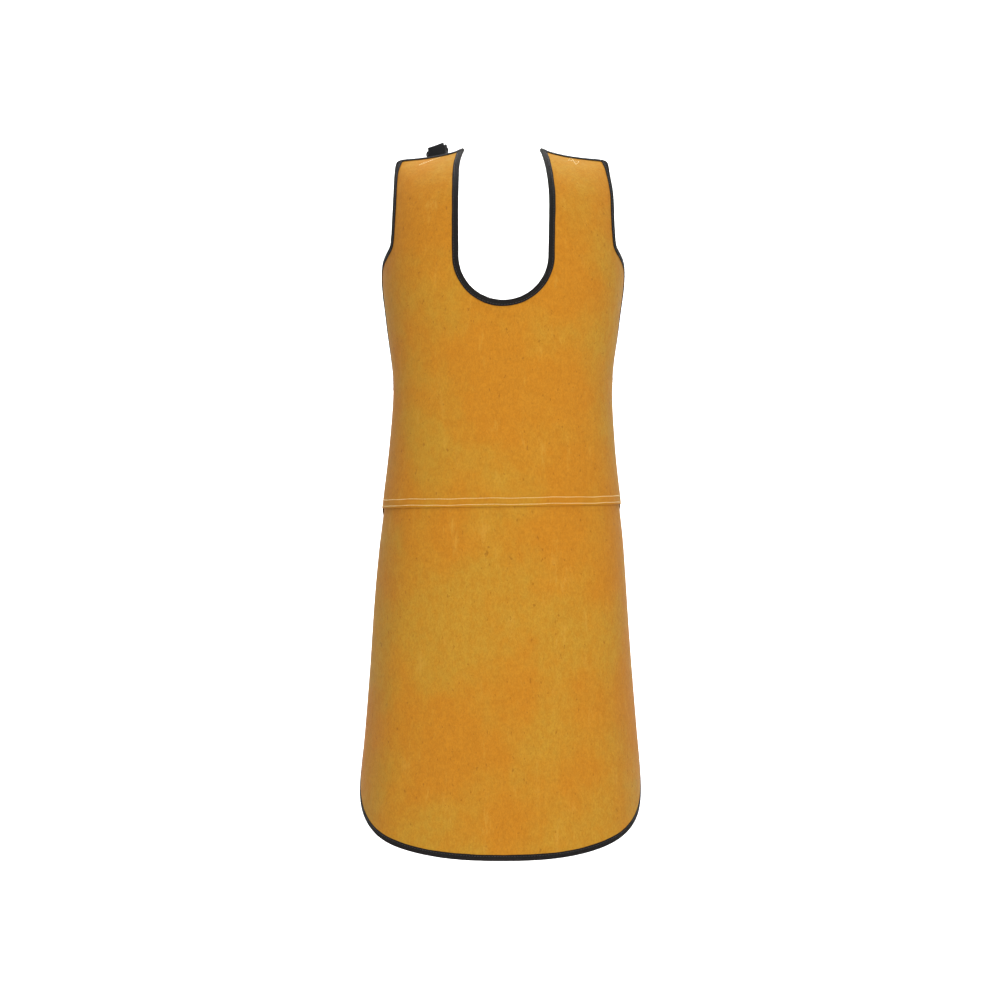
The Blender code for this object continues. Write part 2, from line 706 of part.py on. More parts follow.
class Frame:
    """A buckle's place: its mouth, and its directions across, along and outwards."""

    def __init__(self, origin, along, outwards):
        self.origin = np.asarray(origin, float)
        self.y = unit(along)
        self.z = unit(outwards - self.y * np.dot(outwards, self.y))
        self.x = np.cross(self.y, self.z)

    def points(self, local):
        local = np.asarray(local, float)
        return self.origin + local @ np.array([self.x, self.y, self.z])

    def matrix(self):
        rows = np.stack([self.x, self.y, self.z, self.origin], 1)
        return Matrix([list(map(float, row)) for row in rows] + [[0, 0, 0, 1]])


def in_buckle_plane(frame, line):
    """Points of a line drawn in a buckle's own y and z."""
    return frame.points([(0, y, z) for y, z in line])


def bar_wrap(y_near, y_far, reach, count=7):
    """Half a turn round a bar's end, from its outer face to its inner one."""
    turn = np.linspace(0, math.pi, count)
    return [(y_near + (y_far - y_near) * math.sin(a), reach * math.cos(a)) for a in turn]


def hermite(start, start_way, end, end_way, count):
    """A smooth run between two points that leaves and arrives in given directions."""
    t = np.linspace(0, 1, count)[:, None]
    start, end = np.asarray(start), np.asarray(end)
    pull = np.linalg.norm(end - start)
    a, b = unit(start_way) * pull, unit(end_way) * pull
    return (
        (1 + 2 * t) * (1 - t) ** 2 * start
        + t * (1 - t) ** 2 * a
        + t * t * (3 - 2 * t) * end
        + t * t * (t - 1) * b
    )


BAR_REACH = BAR_THICKNESS / 2 + WEBBING_GAP + WEBBING / 2 + 0.2 * MM
LAYER = WEBBING + WEBBING_GAP
TAIL_BAR_MIDDLE = -SOCKET_LENGTH - SOCKET_TAIL + TAIL_BAR / 2


def socket_loop():
    """The webbing's turn round the tail bar, from well before it above to just past it below."""
    turn = TAIL_BAR_MIDDLE + TAIL_BAR / 2
    bulge = WEBBING_GAP + WEBBING / 2 + 0.4 * MM
    start = TAIL_BAR_MIDDLE - TAIL_BAR - 2 * MM
    return [(start, BAR_REACH)] + bar_wrap(turn, turn + bulge, BAR_REACH)


def ladder_path():
    """The webbing's way through the plug: under both bars, over the middle one, out again."""
    middle = PLUG_FRONT + PLUG_RIM + LADDER_FRONT_SLOT + LADDER_BAR / 2
    reach = PLATE_THICKNESS / 2 + WEBBING_GAP + WEBBING / 2
    under = -(reach + LAYER)
    end = PLUG_LENGTH + 4 * MM
    half = LADDER_BAR / 2 + WEBBING_GAP + WEBBING / 2 + 0.8 * MM
    rise = reach + 0.3 * MM
    turn = np.linspace(math.pi, 0, 9)
    over = [(middle + half * math.cos(a), rise * abs(math.sin(a)) ** 0.7) for a in turn]
    path = [(end, under), (middle + LADDER_BAR / 2, under), (middle - LADDER_BAR / 2, under + 0.4 * MM),
            (middle - half, -reach + 0.6 * MM)]
    path += over
    return path + [(middle + half + 0.5 * MM, -reach + 1.2 * MM),
                   (middle + half + 2 * MM, -reach), (end, -reach)]


# ---------------------------------------------------------------- buckle pieces


def socket_shape():
    """The buckle's female half, open at its mouth and at both sides."""
    w, h = BUCKLE_HALF_WIDTH, BUCKLE_THICKNESS / 2
    body = block("socket", (-w, -SOCKET_LENGTH, -h), (w, 0, h), BUCKLE_ROUNDING)
    slot_half = WEBBING_WIDTH / 2 + SLOT_SIDE
    tail_half = w - TAIL_INSET
    back_wall = -SOCKET_LENGTH + SOCKET_BACK_WALL
    tail_end = -SOCKET_LENGTH - SOCKET_TAIL
    tail = block("tail", (-tail_half, tail_end, -BAR_THICKNESS / 2),
                 (tail_half, back_wall, BAR_THICKNESS / 2), TAIL_ROUNDING)
    body = combine(body, [tail], "UNION")
    inside = w - SOCKET_SIDE_WALL
    room = PRONG_THICKNESS / 2 + CAVITY_CLEARANCE
    window = (-COLLAR_LENGTH - WINDOW_LENGTH, -COLLAR_LENGTH)
    waist = w - SOCKET_WAIST_DEPTH + SOCKET_WAIST_RADIUS
    middle = sum(window) / 2
    cutters = [
        block("cavity", (-inside, back_wall, -room), (inside, THROUGH, room)),
        block("windows", (-THROUGH, window[0], -room), (THROUGH, window[1], room)),
        block("slot", (-slot_half, tail_end + TAIL_BAR, -THROUGH),
              (slot_half, -SOCKET_LENGTH, THROUGH)),
        drum("waist_a", SOCKET_WAIST_RADIUS, THROUGH, (waist, middle, 0)),
        drum("waist_b", SOCKET_WAIST_RADIUS, THROUGH, (-waist, middle, 0)),
    ]
    return combine(body, cutters, "DIFFERENCE").data


def rounded_outline(half_x, y0, y1, radius, count=4):
    """A rectangle with rounded corners, as (x, y) points."""
    outline = []
    for cx, cy, start in ((half_x - radius, y1 - radius, 0), (-half_x + radius, y1 - radius, 90),
                          (-half_x + radius, y0 + radius, 180), (half_x - radius, y0 + radius, 270)):
        for k in range(count + 1):
            a = math.radians(start + 90 * k / count)
            outline.append((cx + radius * math.cos(a), cy + radius * math.sin(a)))
    return outline


def plug_shape():
    """The buckle's male half without its spring arms: flange, guide and ladder bars."""
    w = BUCKLE_HALF_WIDTH - PLUG_NARROWER
    slot_half = WEBBING_WIDTH / 2 + SLOT_SIDE
    slot_a = PLUG_FRONT + PLUG_RIM
    slot_b = slot_a + LADDER_FRONT_SLOT + LADDER_BAR
    outlines = [rounded_outline(w, PLUG_FRONT - PLUG_OVERLAP, PLUG_LENGTH, PLUG_CORNER)]
    for y0, y1 in ((slot_a, slot_a + LADDER_FRONT_SLOT), (slot_b, slot_b + LADDER_REAR_SLOT)):
        outlines.append(rounded_outline(slot_half, y0, y1, SLOT_CORNER, 2)[::-1])
    plate = flat_plate("plug", outlines, PLATE_THICKNESS)
    h = BUCKLE_THICKNESS / 2 - FLANGE_THINNER
    flange = block("flange", (-w, PLUG_GAP, -h), (w, PLUG_FRONT, h), FLANGE_ROUNDING)
    guide = block("guide", (-GUIDE_HALF_WIDTH, PLUG_GAP - GUIDE_LENGTH, -GUIDE_THICKNESS / 2),
                  (GUIDE_HALF_WIDTH, PLUG_FRONT, GUIDE_THICKNESS / 2), GUIDE_ROUNDING, 1)
    return combine(plate, [flange, guide], "UNION").data


def prong_shape(side):
    """One spring arm with its catch, drawn round the pivot that stands for its living hinge."""
    px, py = PRONG_PIVOT
    turn = np.linspace(0, math.pi, 7)
    root = [(px + PRONG_ROOT_RADIUS * math.cos(a), py + PRONG_ROOT_RADIUS * math.sin(a))
            for a in turn]
    outline = root + [(x * MM, y * MM) for x, y in PRONG_ARM]
    outline = [(side * (x - px), y - py) for x, y in outline]
    return flat_plate("prong", [outline if side > 0 else outline[::-1]], PRONG_THICKNESS).data


def add_buckle(prefix, frame, meshes, material):
    """Puts a buckle's four pieces at its frame, and the prongs at their pivots."""
    base = bpy.data.objects.new(prefix + "_buckle_place", None)
    base.matrix_world = frame.matrix()
    PARTS.objects.link(base)
    places = {"socket": (0, 0, 0), "plug": (0, 0, 0)}
    for side, name in ((1, "prong_a"), (-1, "prong_b")):
        places[name] = (side * PRONG_PIVOT[0], PRONG_PIVOT[1], 0)
    for piece, place in places.items():
        obj = bpy.data.objects.new(f"{prefix}_buckle_{piece}", meshes[piece])
        finish(obj, material)
        obj.parent = base
        obj.location = place


# ---------------------------------------------------------------- harness


def shoulder_frame():
    """The shoulder buckle, lying over the crest behind the wearer's right shoulder."""
    plan = strap_plan(200)
    step = np.linalg.norm(plan[1] - plan[0])
    socket = SOCKET_TAIL + SOCKET_LENGTH
    tail = plan[int(BUCKLE_PAST_CREST / step)]
    far = plan[int((BUCKLE_PAST_CREST + socket + PLUG_LENGTH) / step)]
    start = BACK.at(tail[0], tail[1], BUCKLE_TAIL_LIFT)
    end = BACK.at(far[0], far[1], BUCKLE_END_LIFT)
    across = (math.cos(math.radians(BUCKLE_BANK)), 0, math.sin(math.radians(BUCKLE_BANK)))
    return Frame(start + (end - start) * socket / (socket + PLUG_LENGTH), end - start,
                 np.cross(across, end - start))


def waist_frame():
    """The waist buckle, at the middle of the back with its plug to the wearer's left."""
    middle = BACK.at(0, BELT_DEPTH, 0.5 * MM)
    return Frame(middle, (1, 0, 0), (0, 1, 0))


def shoulder_tab(frame, material):
    """Webbing sewn under the right shoulder and looped round the socket's tail bar."""
    upper, out_upper = sewn_run(7, STRAP_SINK, TAB_PAST_CREST)
    lower, _ = sewn_run(7, STRAP_SINK + LAYER + TAB_SPREAD, TAB_PAST_CREST)
    loop = in_buckle_plane(frame, socket_loop())
    rise = hermite(upper[-1], upper[-1] - upper[-2], loop[0], frame.y, 8)[1:-1]
    sewn_across = frames_along(upper, out_upper)
    rise_across = unit(sewn_across[-1] * np.linspace(1, 0, 8)[1:-1, None]
                       + frame.x * np.linspace(0, 1, 8)[1:-1, None])
    outwards = unit(np.cross(unit(np.gradient(np.vstack([upper[-1:], rise]), axis=0))[1:],
                             rise_across))
    outwards *= np.sign(outwards[0] @ out_upper[-1])
    beside = rise[:TAB_TOGETHER] - outwards[:TAB_TOGETHER] * (LAYER + TAB_SPREAD)
    fall = hermite(beside[-1], beside[-1] - beside[-2], loop[-1], frame.y, 4)[1:-1]
    fall_across = unit(rise_across[TAB_TOGETHER - 1] * np.linspace(1, 0, 4)[1:-1, None]
                       + frame.x * np.linspace(0, 1, 4)[1:-1, None])
    points = np.vstack([upper, rise, loop, fall[::-1], beside[::-1], lower[::-1]])
    across = np.vstack([sewn_across, rise_across, np.tile(frame.x, (len(loop), 1)),
                        fall_across[::-1], rise_across[:TAB_TOGETHER][::-1], sewn_across[::-1]])
    strip("right_shoulder_tab", points, across, material)


def plug_strap(name, plan, lift, frame, material, ending=None):
    """A strap that ends in a plug: surface run, ladder, and tail back over the run."""
    run = BACK.at(plan[:, 0], plan[:, 1], lift)
    outwards = BACK.normal(plan[:, 0], plan[:, 1])
    across = frames_along(run, outwards)
    if np.dot(across[0], frame.x) < 0:
        across = -across
    ladder = in_buckle_plane(frame, ladder_path())
    away = run[1] - run[0]
    join = hermite(ladder[0], frame.y, run[0], away, 8)[1:-1]
    mix = np.linspace(0, 1, 8)[1:-1, None]
    bridge = unit(frame.x * (1 - mix) + across[0] * mix)
    main = np.vstack([join, run])
    main_across = np.vstack([bridge, across])
    tangent = unit(np.gradient(main, axis=0))
    main_out = unit(np.cross(main_across, tangent))
    along = np.concatenate([[0], np.cumsum(np.linalg.norm(np.diff(main, axis=0), axis=1))])
    keep = along < TAIL_LENGTH
    tail = main[keep] + main_out[keep] * LAYER
    far = main[:0] if ending is None else ending[::-1]
    points = np.vstack([far, main[::-1], ladder, tail])
    turned = np.vstack([np.tile(across[-1], (len(far), 1)), main_across[::-1],
                        np.tile(frame.x, (len(ladder), 1)), main_across[keep]])
    strip(name, points, turned, material)
    return main, main_across, main_out


def keeper(name, main, across, outwards, material):
    """A loop round the strap and its tail, a little way from the plug."""
    along = np.concatenate([[0], np.cumsum(np.linalg.norm(np.diff(main, axis=0), axis=1))])
    i = int(np.argmin(np.abs(along - KEEPER_FROM_BUCKLE)))
    way = main[i + 1] - main[i - 1]
    frame = Frame(main[i] + outwards[i] * LAYER / 2, way, outwards[i])
    inner_x = WEBBING_WIDTH / 2 + KEEPER_CLEARANCE
    inner_z = (2 * WEBBING + WEBBING_GAP) / 2 + KEEPER_CLEARANCE
    outer = rounded_outline(inner_x + KEEPER_WALL, -inner_z - KEEPER_WALL,
                            inner_z + KEEPER_WALL, 1.6 * MM, 3)
    hole = rounded_outline(inner_x, -inner_z, inner_z, 0.8 * MM, 2)[::-1]
    loop = flat_plate(name, [outer, hole], KEEPER_LENGTH)
    mesh = loop.data
    bpy.data.objects.remove(loop)
    obj = bpy.data.objects.new(name, mesh)
    finish(obj, material)
    stand = Matrix.Rotation(math.radians(90), 4, "X")
    obj.matrix_world = frame.matrix() @ stand
    return frame


def plain_strap(material):
    """The left strap: sewn under the left shoulder, over the crest and down to the belt."""
    plan = strap_plan(40)
    sewn, sewn_out = sewn_run(6, STRAP_SINK)
    over = BACK.at(plan[:, 0], plan[:, 1], strap_rise(plan[:, 1]) - STRAP_SINK)
    over_out = BACK.normal(plan[:, 0], plan[:, 1])
    points = np.vstack([sewn[:-1], over])
    outwards = np.vstack([sewn_out[:-1], over_out])
    smoothed = points.copy()
    for _ in range(3):
        smoothed[4:9] = (smoothed[3:8] + 2 * smoothed[4:9] + smoothed[5:10]) / 4
    across = frames_along(smoothed, outwards)
    loop = belt_loop(*plan[-1])
    points = mirrored(np.vstack([smoothed, loop]))
    across = mirrored(np.vstack([across, np.tile(across[-1], (len(loop), 1))]))
    strip("left_back_strap", points, across, material)


def back_band(material):
    """The band across the back, over both straps."""
    line = strap_plan(400)
    s, v = line[np.argmin(np.abs(line[:, 1] - BAND_DEPTH))]
    reach = abs(s) + WEBBING_WIDTH / 2 + BAND_OVERHANG
    s = np.linspace(-reach, reach, 24)
    v = np.full_like(s, v)
    points = BACK.at(s, v, np.full_like(s, BAND_LIFT - STRAP_SINK))
    strip("back_band", points, frames_along(points, BACK.normal(s, v)), material)


def belt_plan(count, from_s, side):
    """Half of the waist belt as (s, v), from beside the buckle to under the leather."""
    end = back_edge(BELT_DEPTH) + BELT_UNDER_LEATHER
    s = side * np.linspace(from_s, end, count)
    return np.stack([s, np.full(count, BELT_DEPTH)], 1)


def socket_belt(frame, material):
    """The right half of the belt, looped round the waist socket's tail bar."""
    start = SOCKET_LENGTH + SOCKET_TAIL + 18 * MM
    plan = belt_plan(14, start, -1)
    run = BACK.at(plan[:, 0], plan[:, 1], np.full(len(plan), -STRAP_SINK))
    across = frames_along(run, BACK.normal(plan[:, 0], plan[:, 1]))
    if np.dot(across[0], frame.x) < 0:
        across = -across
    loop = in_buckle_plane(frame, socket_loop())[::-1]
    join = hermite(run[0], run[0] - run[1], loop[0], frame.y, 6)[1:-1]
    main = np.vstack([run[::-1], join])
    tangent = unit(np.gradient(main, axis=0))
    main_across = np.vstack([across[::-1], np.tile(frame.x, (len(join), 1))])
    out = unit(np.cross(main_across, tangent))
    along = np.concatenate([[0], np.cumsum(np.linalg.norm(np.diff(main[::-1], axis=0), axis=1))])
    keep = along < RETURN_LENGTH
    back_run = (main[::-1][keep] + out[::-1][keep] * (LAYER + 0.3 * MM))[1:]
    back_across = main_across[::-1][keep][1:]
    points = np.vstack([main, loop, back_run])
    turned = np.vstack([main_across, np.tile(frame.x, (len(loop), 1)), back_across])
    strip("right_waist_strap", points, turned, material)


def box_stitch(name, surface, centre, along, width, length, lift, material):
    """A sewn box with one diagonal, as one thread."""
    along = unit(np.asarray(along, float))
    across = np.array([-along[1], along[0]])
    corners = np.array([(-1, -1), (1, -1), (1, 1), (-1, 1), (-1, -1), (1, 1)])
    step = np.linspace(0, 1, BOX_STEPS)[:-1, None]
    sides = [a + (b - a) * step for a, b in zip(corners[:-1], corners[1:])]
    sides[-1] = sides[-1] * BOX_DIAGONAL
    place = np.vstack(sides)[:-1] * (width / 2, length / 2)
    flat = np.asarray(centre) + place[:, :1] * across + place[:, 1:] * along
    rise = np.where(np.arange(len(flat)) < 4 * len(step), 0, BOX_DIAGONAL_LIFT)
    wire(name, surface.at(flat[:, 0], flat[:, 1], lift + rise), THREAD_RADIUS, material)


def main():
    for obj in list(bpy.data.objects):
        bpy.data.objects.remove(obj)
    leather = make_material("golden_split_leather", (0.60, 0.27, 0.024), 0.85)
    binding = make_material("black_binding", (0.012, 0.011, 0.013), 0.8)
    webbing = make_material("black_webbing", (0.015, 0.015, 0.017), 0.7)
    thread = make_material("yellow_thread", (0.80, 0.56, 0.20), 0.6)
    binding_thread = make_material("black_thread", (0.016, 0.015, 0.018), 0.6)
    plastic = make_material("black_acetal", (0.013, 0.013, 0.014), 0.35)

    bib_panel(leather)
    skirt_panel(leather)
    tape("neck_binding", neck_path(), (0, SEAM_DEPTH), binding)
    tape("edge_binding", whole_edge(), (0, 0), binding)
    stitches(thread, binding_thread)

    meshes = {"socket": socket_shape(), "plug": plug_shape(), "prong_a": prong_shape(1),
              "prong_b": prong_shape(-1)}
    for name in ("socket", "plug", "prong"):
        for obj in [o for o in bpy.data.objects if o.name.split(".")[0] == name]:
            bpy.data.objects.remove(obj)
    shoulder, waist = shoulder_frame(), waist_frame()
    add_buckle("shoulder", shoulder, meshes, plastic)
    add_buckle("waist", waist, meshes, plastic)
    shoulder_tab(shoulder, webbing)
    plain_strap(webbing)
    back_band(webbing)

    plan = strap_plan(160)
    step = np.linalg.norm(plan[1] - plan[0])
    first = int((12 * MM + SOCKET_TAIL + SOCKET_LENGTH + PLUG_LENGTH + 26 * MM) / step)
    plan = resample(plan[first:], 36)
    line = plug_strap("right_back_strap", plan, strap_rise(plan[:, 1]) - STRAP_SINK,
                      shoulder, webbing, belt_loop(*plan[-1]))
    keeper("shoulder_strap_keeper", *line, webbing)
    plan = belt_plan(14, PLUG_LENGTH + 20 * MM, 1)
    line = plug_strap("left_waist_strap", plan, np.full(len(plan), -STRAP_SINK), waist, webbing)
    keeper("waist_strap_keeper", *line, webbing)
    socket_belt(waist, webbing)

    slant = math.radians(STRAP_SLANT)
    for name, side in (("right_shoulder_thread", -1), ("left_shoulder_thread", 1)):
        middle = SEWN_LENGTH * 0.70
        centre = (side * (STRAP_CREST + middle * math.sin(slant)), middle * math.cos(slant))
        box_stitch(name, FRONT, centre, (side * math.sin(slant), math.cos(slant)),
                   WEBBING_WIDTH - 6 * MM, SEWN_LENGTH - 16 * MM,
                   LEATHER / 2 + THREAD_RADIUS + THREAD_LIFT, thread)
        wearer_side = "right" if side < 0 else "left"
        place = front_depth(BELT_DEPTH)
        inset = BINDING_WIDTH + SIDE_BOX / 2 + 4 * MM
        centre = (side * (float(half_width(place)) - inset), place)
        box_stitch(f"{wearer_side}_belt_thread", FRONT, centre, (side, 0), SIDE_BOX, SIDE_BOX,
                   LEATHER / 2 + THREAD_RADIUS + THREAD_LIFT, binding_thread)


PARTS = make_collection("welding_apron")
main()
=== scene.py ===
import json
import math

import bmesh
import bpy
import numpy as np
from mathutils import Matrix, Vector


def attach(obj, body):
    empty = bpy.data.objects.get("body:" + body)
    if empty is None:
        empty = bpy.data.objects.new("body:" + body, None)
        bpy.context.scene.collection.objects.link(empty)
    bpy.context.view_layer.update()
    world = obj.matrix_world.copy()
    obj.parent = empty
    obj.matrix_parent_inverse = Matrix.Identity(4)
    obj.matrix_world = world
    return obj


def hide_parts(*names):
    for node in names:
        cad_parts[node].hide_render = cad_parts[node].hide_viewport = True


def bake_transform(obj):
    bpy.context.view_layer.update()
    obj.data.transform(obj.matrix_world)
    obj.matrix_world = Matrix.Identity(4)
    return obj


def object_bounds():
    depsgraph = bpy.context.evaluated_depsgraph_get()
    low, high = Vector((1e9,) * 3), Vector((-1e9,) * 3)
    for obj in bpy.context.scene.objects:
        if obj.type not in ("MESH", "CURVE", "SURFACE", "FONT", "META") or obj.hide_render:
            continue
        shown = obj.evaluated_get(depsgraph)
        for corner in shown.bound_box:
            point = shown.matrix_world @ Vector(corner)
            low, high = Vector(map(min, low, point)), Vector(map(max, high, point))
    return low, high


mm = 0.001
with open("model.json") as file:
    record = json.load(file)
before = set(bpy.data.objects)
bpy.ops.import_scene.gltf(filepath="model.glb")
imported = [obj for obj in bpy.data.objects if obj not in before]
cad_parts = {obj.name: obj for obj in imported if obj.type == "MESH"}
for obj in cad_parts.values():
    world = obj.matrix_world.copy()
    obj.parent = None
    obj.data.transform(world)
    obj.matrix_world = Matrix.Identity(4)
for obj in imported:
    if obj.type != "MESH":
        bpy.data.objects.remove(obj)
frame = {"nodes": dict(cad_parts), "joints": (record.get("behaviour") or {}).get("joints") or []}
cadBox = [list(map(float, corner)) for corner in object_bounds()]
apronLow = cadBox[0][2]
print("frame loaded")

# camera, light and floor

view = {"place": (-0.003, -3.5, -0.511), "lens": 86.32, "sensor": 36.0}

cameraData = bpy.data.cameras.new("camera")
cameraData.lens = view["lens"]
cameraData.sensor_width = view["sensor"]
cameraObject = bpy.data.objects.new("camera", cameraData)
cameraObject.location = view["place"]
cameraObject.rotation_euler = (math.radians(90), 0, 0)
bpy.context.scene.collection.objects.link(cameraObject)
bpy.context.scene.camera = cameraObject

studio = {
    "lamps": {  # place, side of the square in metres, watts and the point it faces
        "keyLamp": ((0.9, -3.4, 0.9), 1.3, 88, (0.0, 0.0, -0.4)),
        "fillLamp": ((-0.2, -3.4, -0.4), 1.3, 26, (0.0, 0.0, -0.6)),
        "wallLamp": ((0.0, 1.2, 2.2), 2.4, 210, (0.0, 3.4, 0.0)),
        "floorLamp": ((0.0, -1.2, 2.6), 2.6, 40, (0.0, -0.6, -1.4)),
    },
    "sky": 0.26,
    "floorDrop": 0.32,  # from the hem to the floor that the wearer would stand on
    "floorColour": (0.93, 0.93, 0.93, 1),
    "wallAt": 3.4, "wallTop": 7.0, "sweepRadius": 2.0, "floorFront": -8.0, "floorHalf": 9.0,
}

for name, (place, side, watts, aim) in studio["lamps"].items():
    lamp = bpy.data.lights.new(name, "AREA")
    lamp.size = side
    lamp.energy = watts
    lampObject = bpy.data.objects.new(name, lamp)
    lampObject.location = place
    lampObject.rotation_euler = (Vector(aim) - Vector(place)).to_track_quat("-Z", "Y").to_euler()
    bpy.context.scene.collection.objects.link(lampObject)

world = bpy.data.worlds.new("studio")
world.use_nodes = True
world.node_tree.nodes["Background"].inputs["Color"].default_value = (1, 1, 1, 1)
world.node_tree.nodes["Background"].inputs["Strength"].default_value = studio["sky"]
bpy.context.scene.world = world
bpy.context.scene.view_settings.view_transform = "Standard"


# meshes from grids

# Quads between neighbouring points of a grid; ringed joins the last column to the first.
def gridFaces(rows, columns, ringed=False):
    index = np.arange(rows * columns).reshape(rows, columns)
    if ringed:
        index = np.hstack([index, index[:, :1]])
    a, b, c, d = index[:-1, :-1], index[:-1, 1:], index[1:, 1:], index[1:, :-1]
    return np.stack([a, b, c, d], -1).reshape(-1, 4)


# One (u, v) for each corner of the same quads.
def gridUv(uv, ringed=False):
    if ringed:
        closing = uv[:, :1].copy()
        closing[..., 1] += uv[0, -1, 1] - uv[0, -2, 1] + uv[0, -1, 1]
        uv = np.hstack([uv, closing])
    corners = [uv[:-1, :-1], uv[:-1, 1:], uv[1:, 1:], uv[1:, :-1]]
    return np.stack(corners, 2).reshape(-1, 2)


def makePiece(name, points, faces, material, uv=None, smooth=True):
    mesh = bpy.data.meshes.new(name)
    mesh.from_pydata(np.reshape(points, (-1, 3)).tolist(), [], [list(face) for face in faces])
    if uv is not None:
        layer = mesh.uv_layers.new(name="cloth")
        full = np.zeros((len(mesh.loops), 2), np.float32)
        full[:len(uv)] = uv
        layer.data.foreach_set("uv", full.ravel())
    mesh.update()
    piece = bpy.data.objects.new(name, mesh)
    bpy.context.scene.collection.objects.link(piece)
    piece.data.materials.append(material)
    if smooth:
        mesh.shade_smooth()
    return piece


# Merges doubled points and turns the faces of a closed mesh outwards.
def pointOutwards(piece):
    work = bmesh.new()
    work.from_mesh(piece.data)
    bmesh.ops.remove_doubles(work, verts=work.verts, dist=0.000002)
    bmesh.ops.recalc_face_normals(work, faces=work.faces)
    work.to_mesh(piece.data)
    work.free()


# The piece rides on its body and stands for the named CAD nodes.
def settle(piece, body, slot, *nodes):
    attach(piece, body)
    if nodes:
        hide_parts(*nodes)
    return piece


# smooth curves

# Hermite curve through (place, height) points, its slopes the harmonic means of its neighbours'.
def smoothThrough(points, at):
    x, y = np.array(points, float).T
    rise = np.diff(y) / np.diff(x)
    before, after = rise[:-1], rise[1:]
    sameWay = before * after > 0
    total = np.where(sameWay, before + after, 1)
    inner = np.where(sameWay, 2 * before * after / total, 0)
    slope = np.concatenate([rise[:1], inner, rise[-1:]])
    at = np.clip(np.asarray(at, float), x[0], x[-1])
    i = np.clip(np.searchsorted(x, at) - 1, 0, len(x) - 2)
    step = x[i + 1] - x[i]
    t = (at - x[i]) / step
    return ((1 + 2 * t) * (1 - t) ** 2 * y[i] + t * (1 - t) ** 2 * step * slope[i]
            + t * t * (3 - 2 * t) * y[i + 1] + t * t * (t - 1) * step * slope[i + 1])


# 0 below 0, 1 above 1, smooth between.
def ease(t):
    t = np.clip(t, 0, 1)
    return t * t * (3 - 2 * t)


# 1 at 0, falling like a bell over the width.
def bump(distance, width):
    return np.exp(-(np.asarray(distance) / width) ** 2)


def unit(vectors):
    vectors = np.asarray(vectors, float)
    return vectors / np.linalg.norm(vectors, axis=-1, keepdims=True)


# Distance along a line of points, from its first.
def lengthAlong(points):
    return np.concatenate([[0], np.cumsum(np.linalg.norm(np.diff(points, axis=0), axis=1))])


# The same line with evenly spaced points, or closer ones where the density is higher.
def resample(points, count, density=1.0):
    points = np.asarray(points, float)
    step = np.linalg.norm(np.diff(points, axis=0), axis=1) * density
    along = np.concatenate([[0], np.cumsum(step)])
    at = np.linspace(0, along[-1], count)
    return np.stack([np.interp(at, along, points[:, k]) for k in range(points.shape[1])], 1)


# Averages each point with its neighbours, keeping both ends.
def roundOff(points, times):
    points = np.array(points, float)
    for _ in range(times):
        points[1:-1] = (points[:-2] + 2 * points[1:-1] + points[2:]) / 4
    return points


# A smooth run between two points that leaves and arrives in given directions.
def hermite(start, startWay, end, endWay, count):
    t = np.linspace(0, 1, count)[:, None]
    start, end = np.asarray(start), np.asarray(end)
    pull = np.linalg.norm(end - start)
    a, b = unit(startWay) * pull, unit(endWay) * pull
    return ((1 + 2 * t) * (1 - t) ** 2 * start + t * (1 - t) ** 2 * a
            + t * t * (3 - 2 * t) * end + t * t * (t - 1) * b)


# the wearer's shape: s is the distance round the body from the middle, and v the
# distance down from the shoulder crest. Millimetres and degrees.

wearer = {
    "frontTilt": ((-40, 108), (0, 70), (30, 62), (62, 49), (120, 28), (190, 14), (250, 2),
                  (310, -5), (390, -3), (500, 1), (700, 2), (1100, 2)),
    "backTilt": ((-40, 126), (0, 110), (22, 90), (55, 60), (95, 32), (150, 14), (210, 3),
                 (280, -7), (400, -9), (600, 0), (1100, 0)),
    "halfWidth": ((-60, 154), (0, 156), (75, 167), (130, 172), (185, 175), (250, 169),
                  (345, 160.5), (430, 165), (530, 175), (670, 187), (830, 199), (970, 211),
                  (1100, 217)),
    "sidePlace": ((-60, 0), (0, 0), (200, 5), (380, 12), (600, 18), (1030, 34), (1100, 35)),
    "power": 2.4,  # 2 is an ellipse in plan, more is squarer
    "neckTop": 57 * mm,
    "shoulderDrop": 19 * mm,
    "dropReach": 50 * mm,
    "dropFade": 170 * mm,
    "rowStep": 3 * mm,
    "columnStep": 2 * mm,
    "roundTo": 420 * mm,
    "crestBehind": 36 * mm,
    "reachDown": 1340 * mm,
}


# Height and depth of the middle line: sums of the cosine and the sine of its tilt.
def middleLine(tilt):
    v = np.arange(-wearer["crestBehind"], wearer["reachDown"], wearer["rowStep"])
    angle = np.radians(smoothThrough(tilt, v / mm))
    depth = np.concatenate([[0], np.cumsum((np.sin(angle[1:]) + np.sin(angle[:-1])) / 2)])
    height = -np.concatenate([[0], np.cumsum((np.cos(angle[1:]) + np.cos(angle[:-1])) / 2)])
    crest = int(round(wearer["crestBehind"] / wearer["rowStep"]))
    return (v, (height - height[crest]) * wearer["rowStep"],
            (depth - depth[crest]) * wearer["rowStep"])


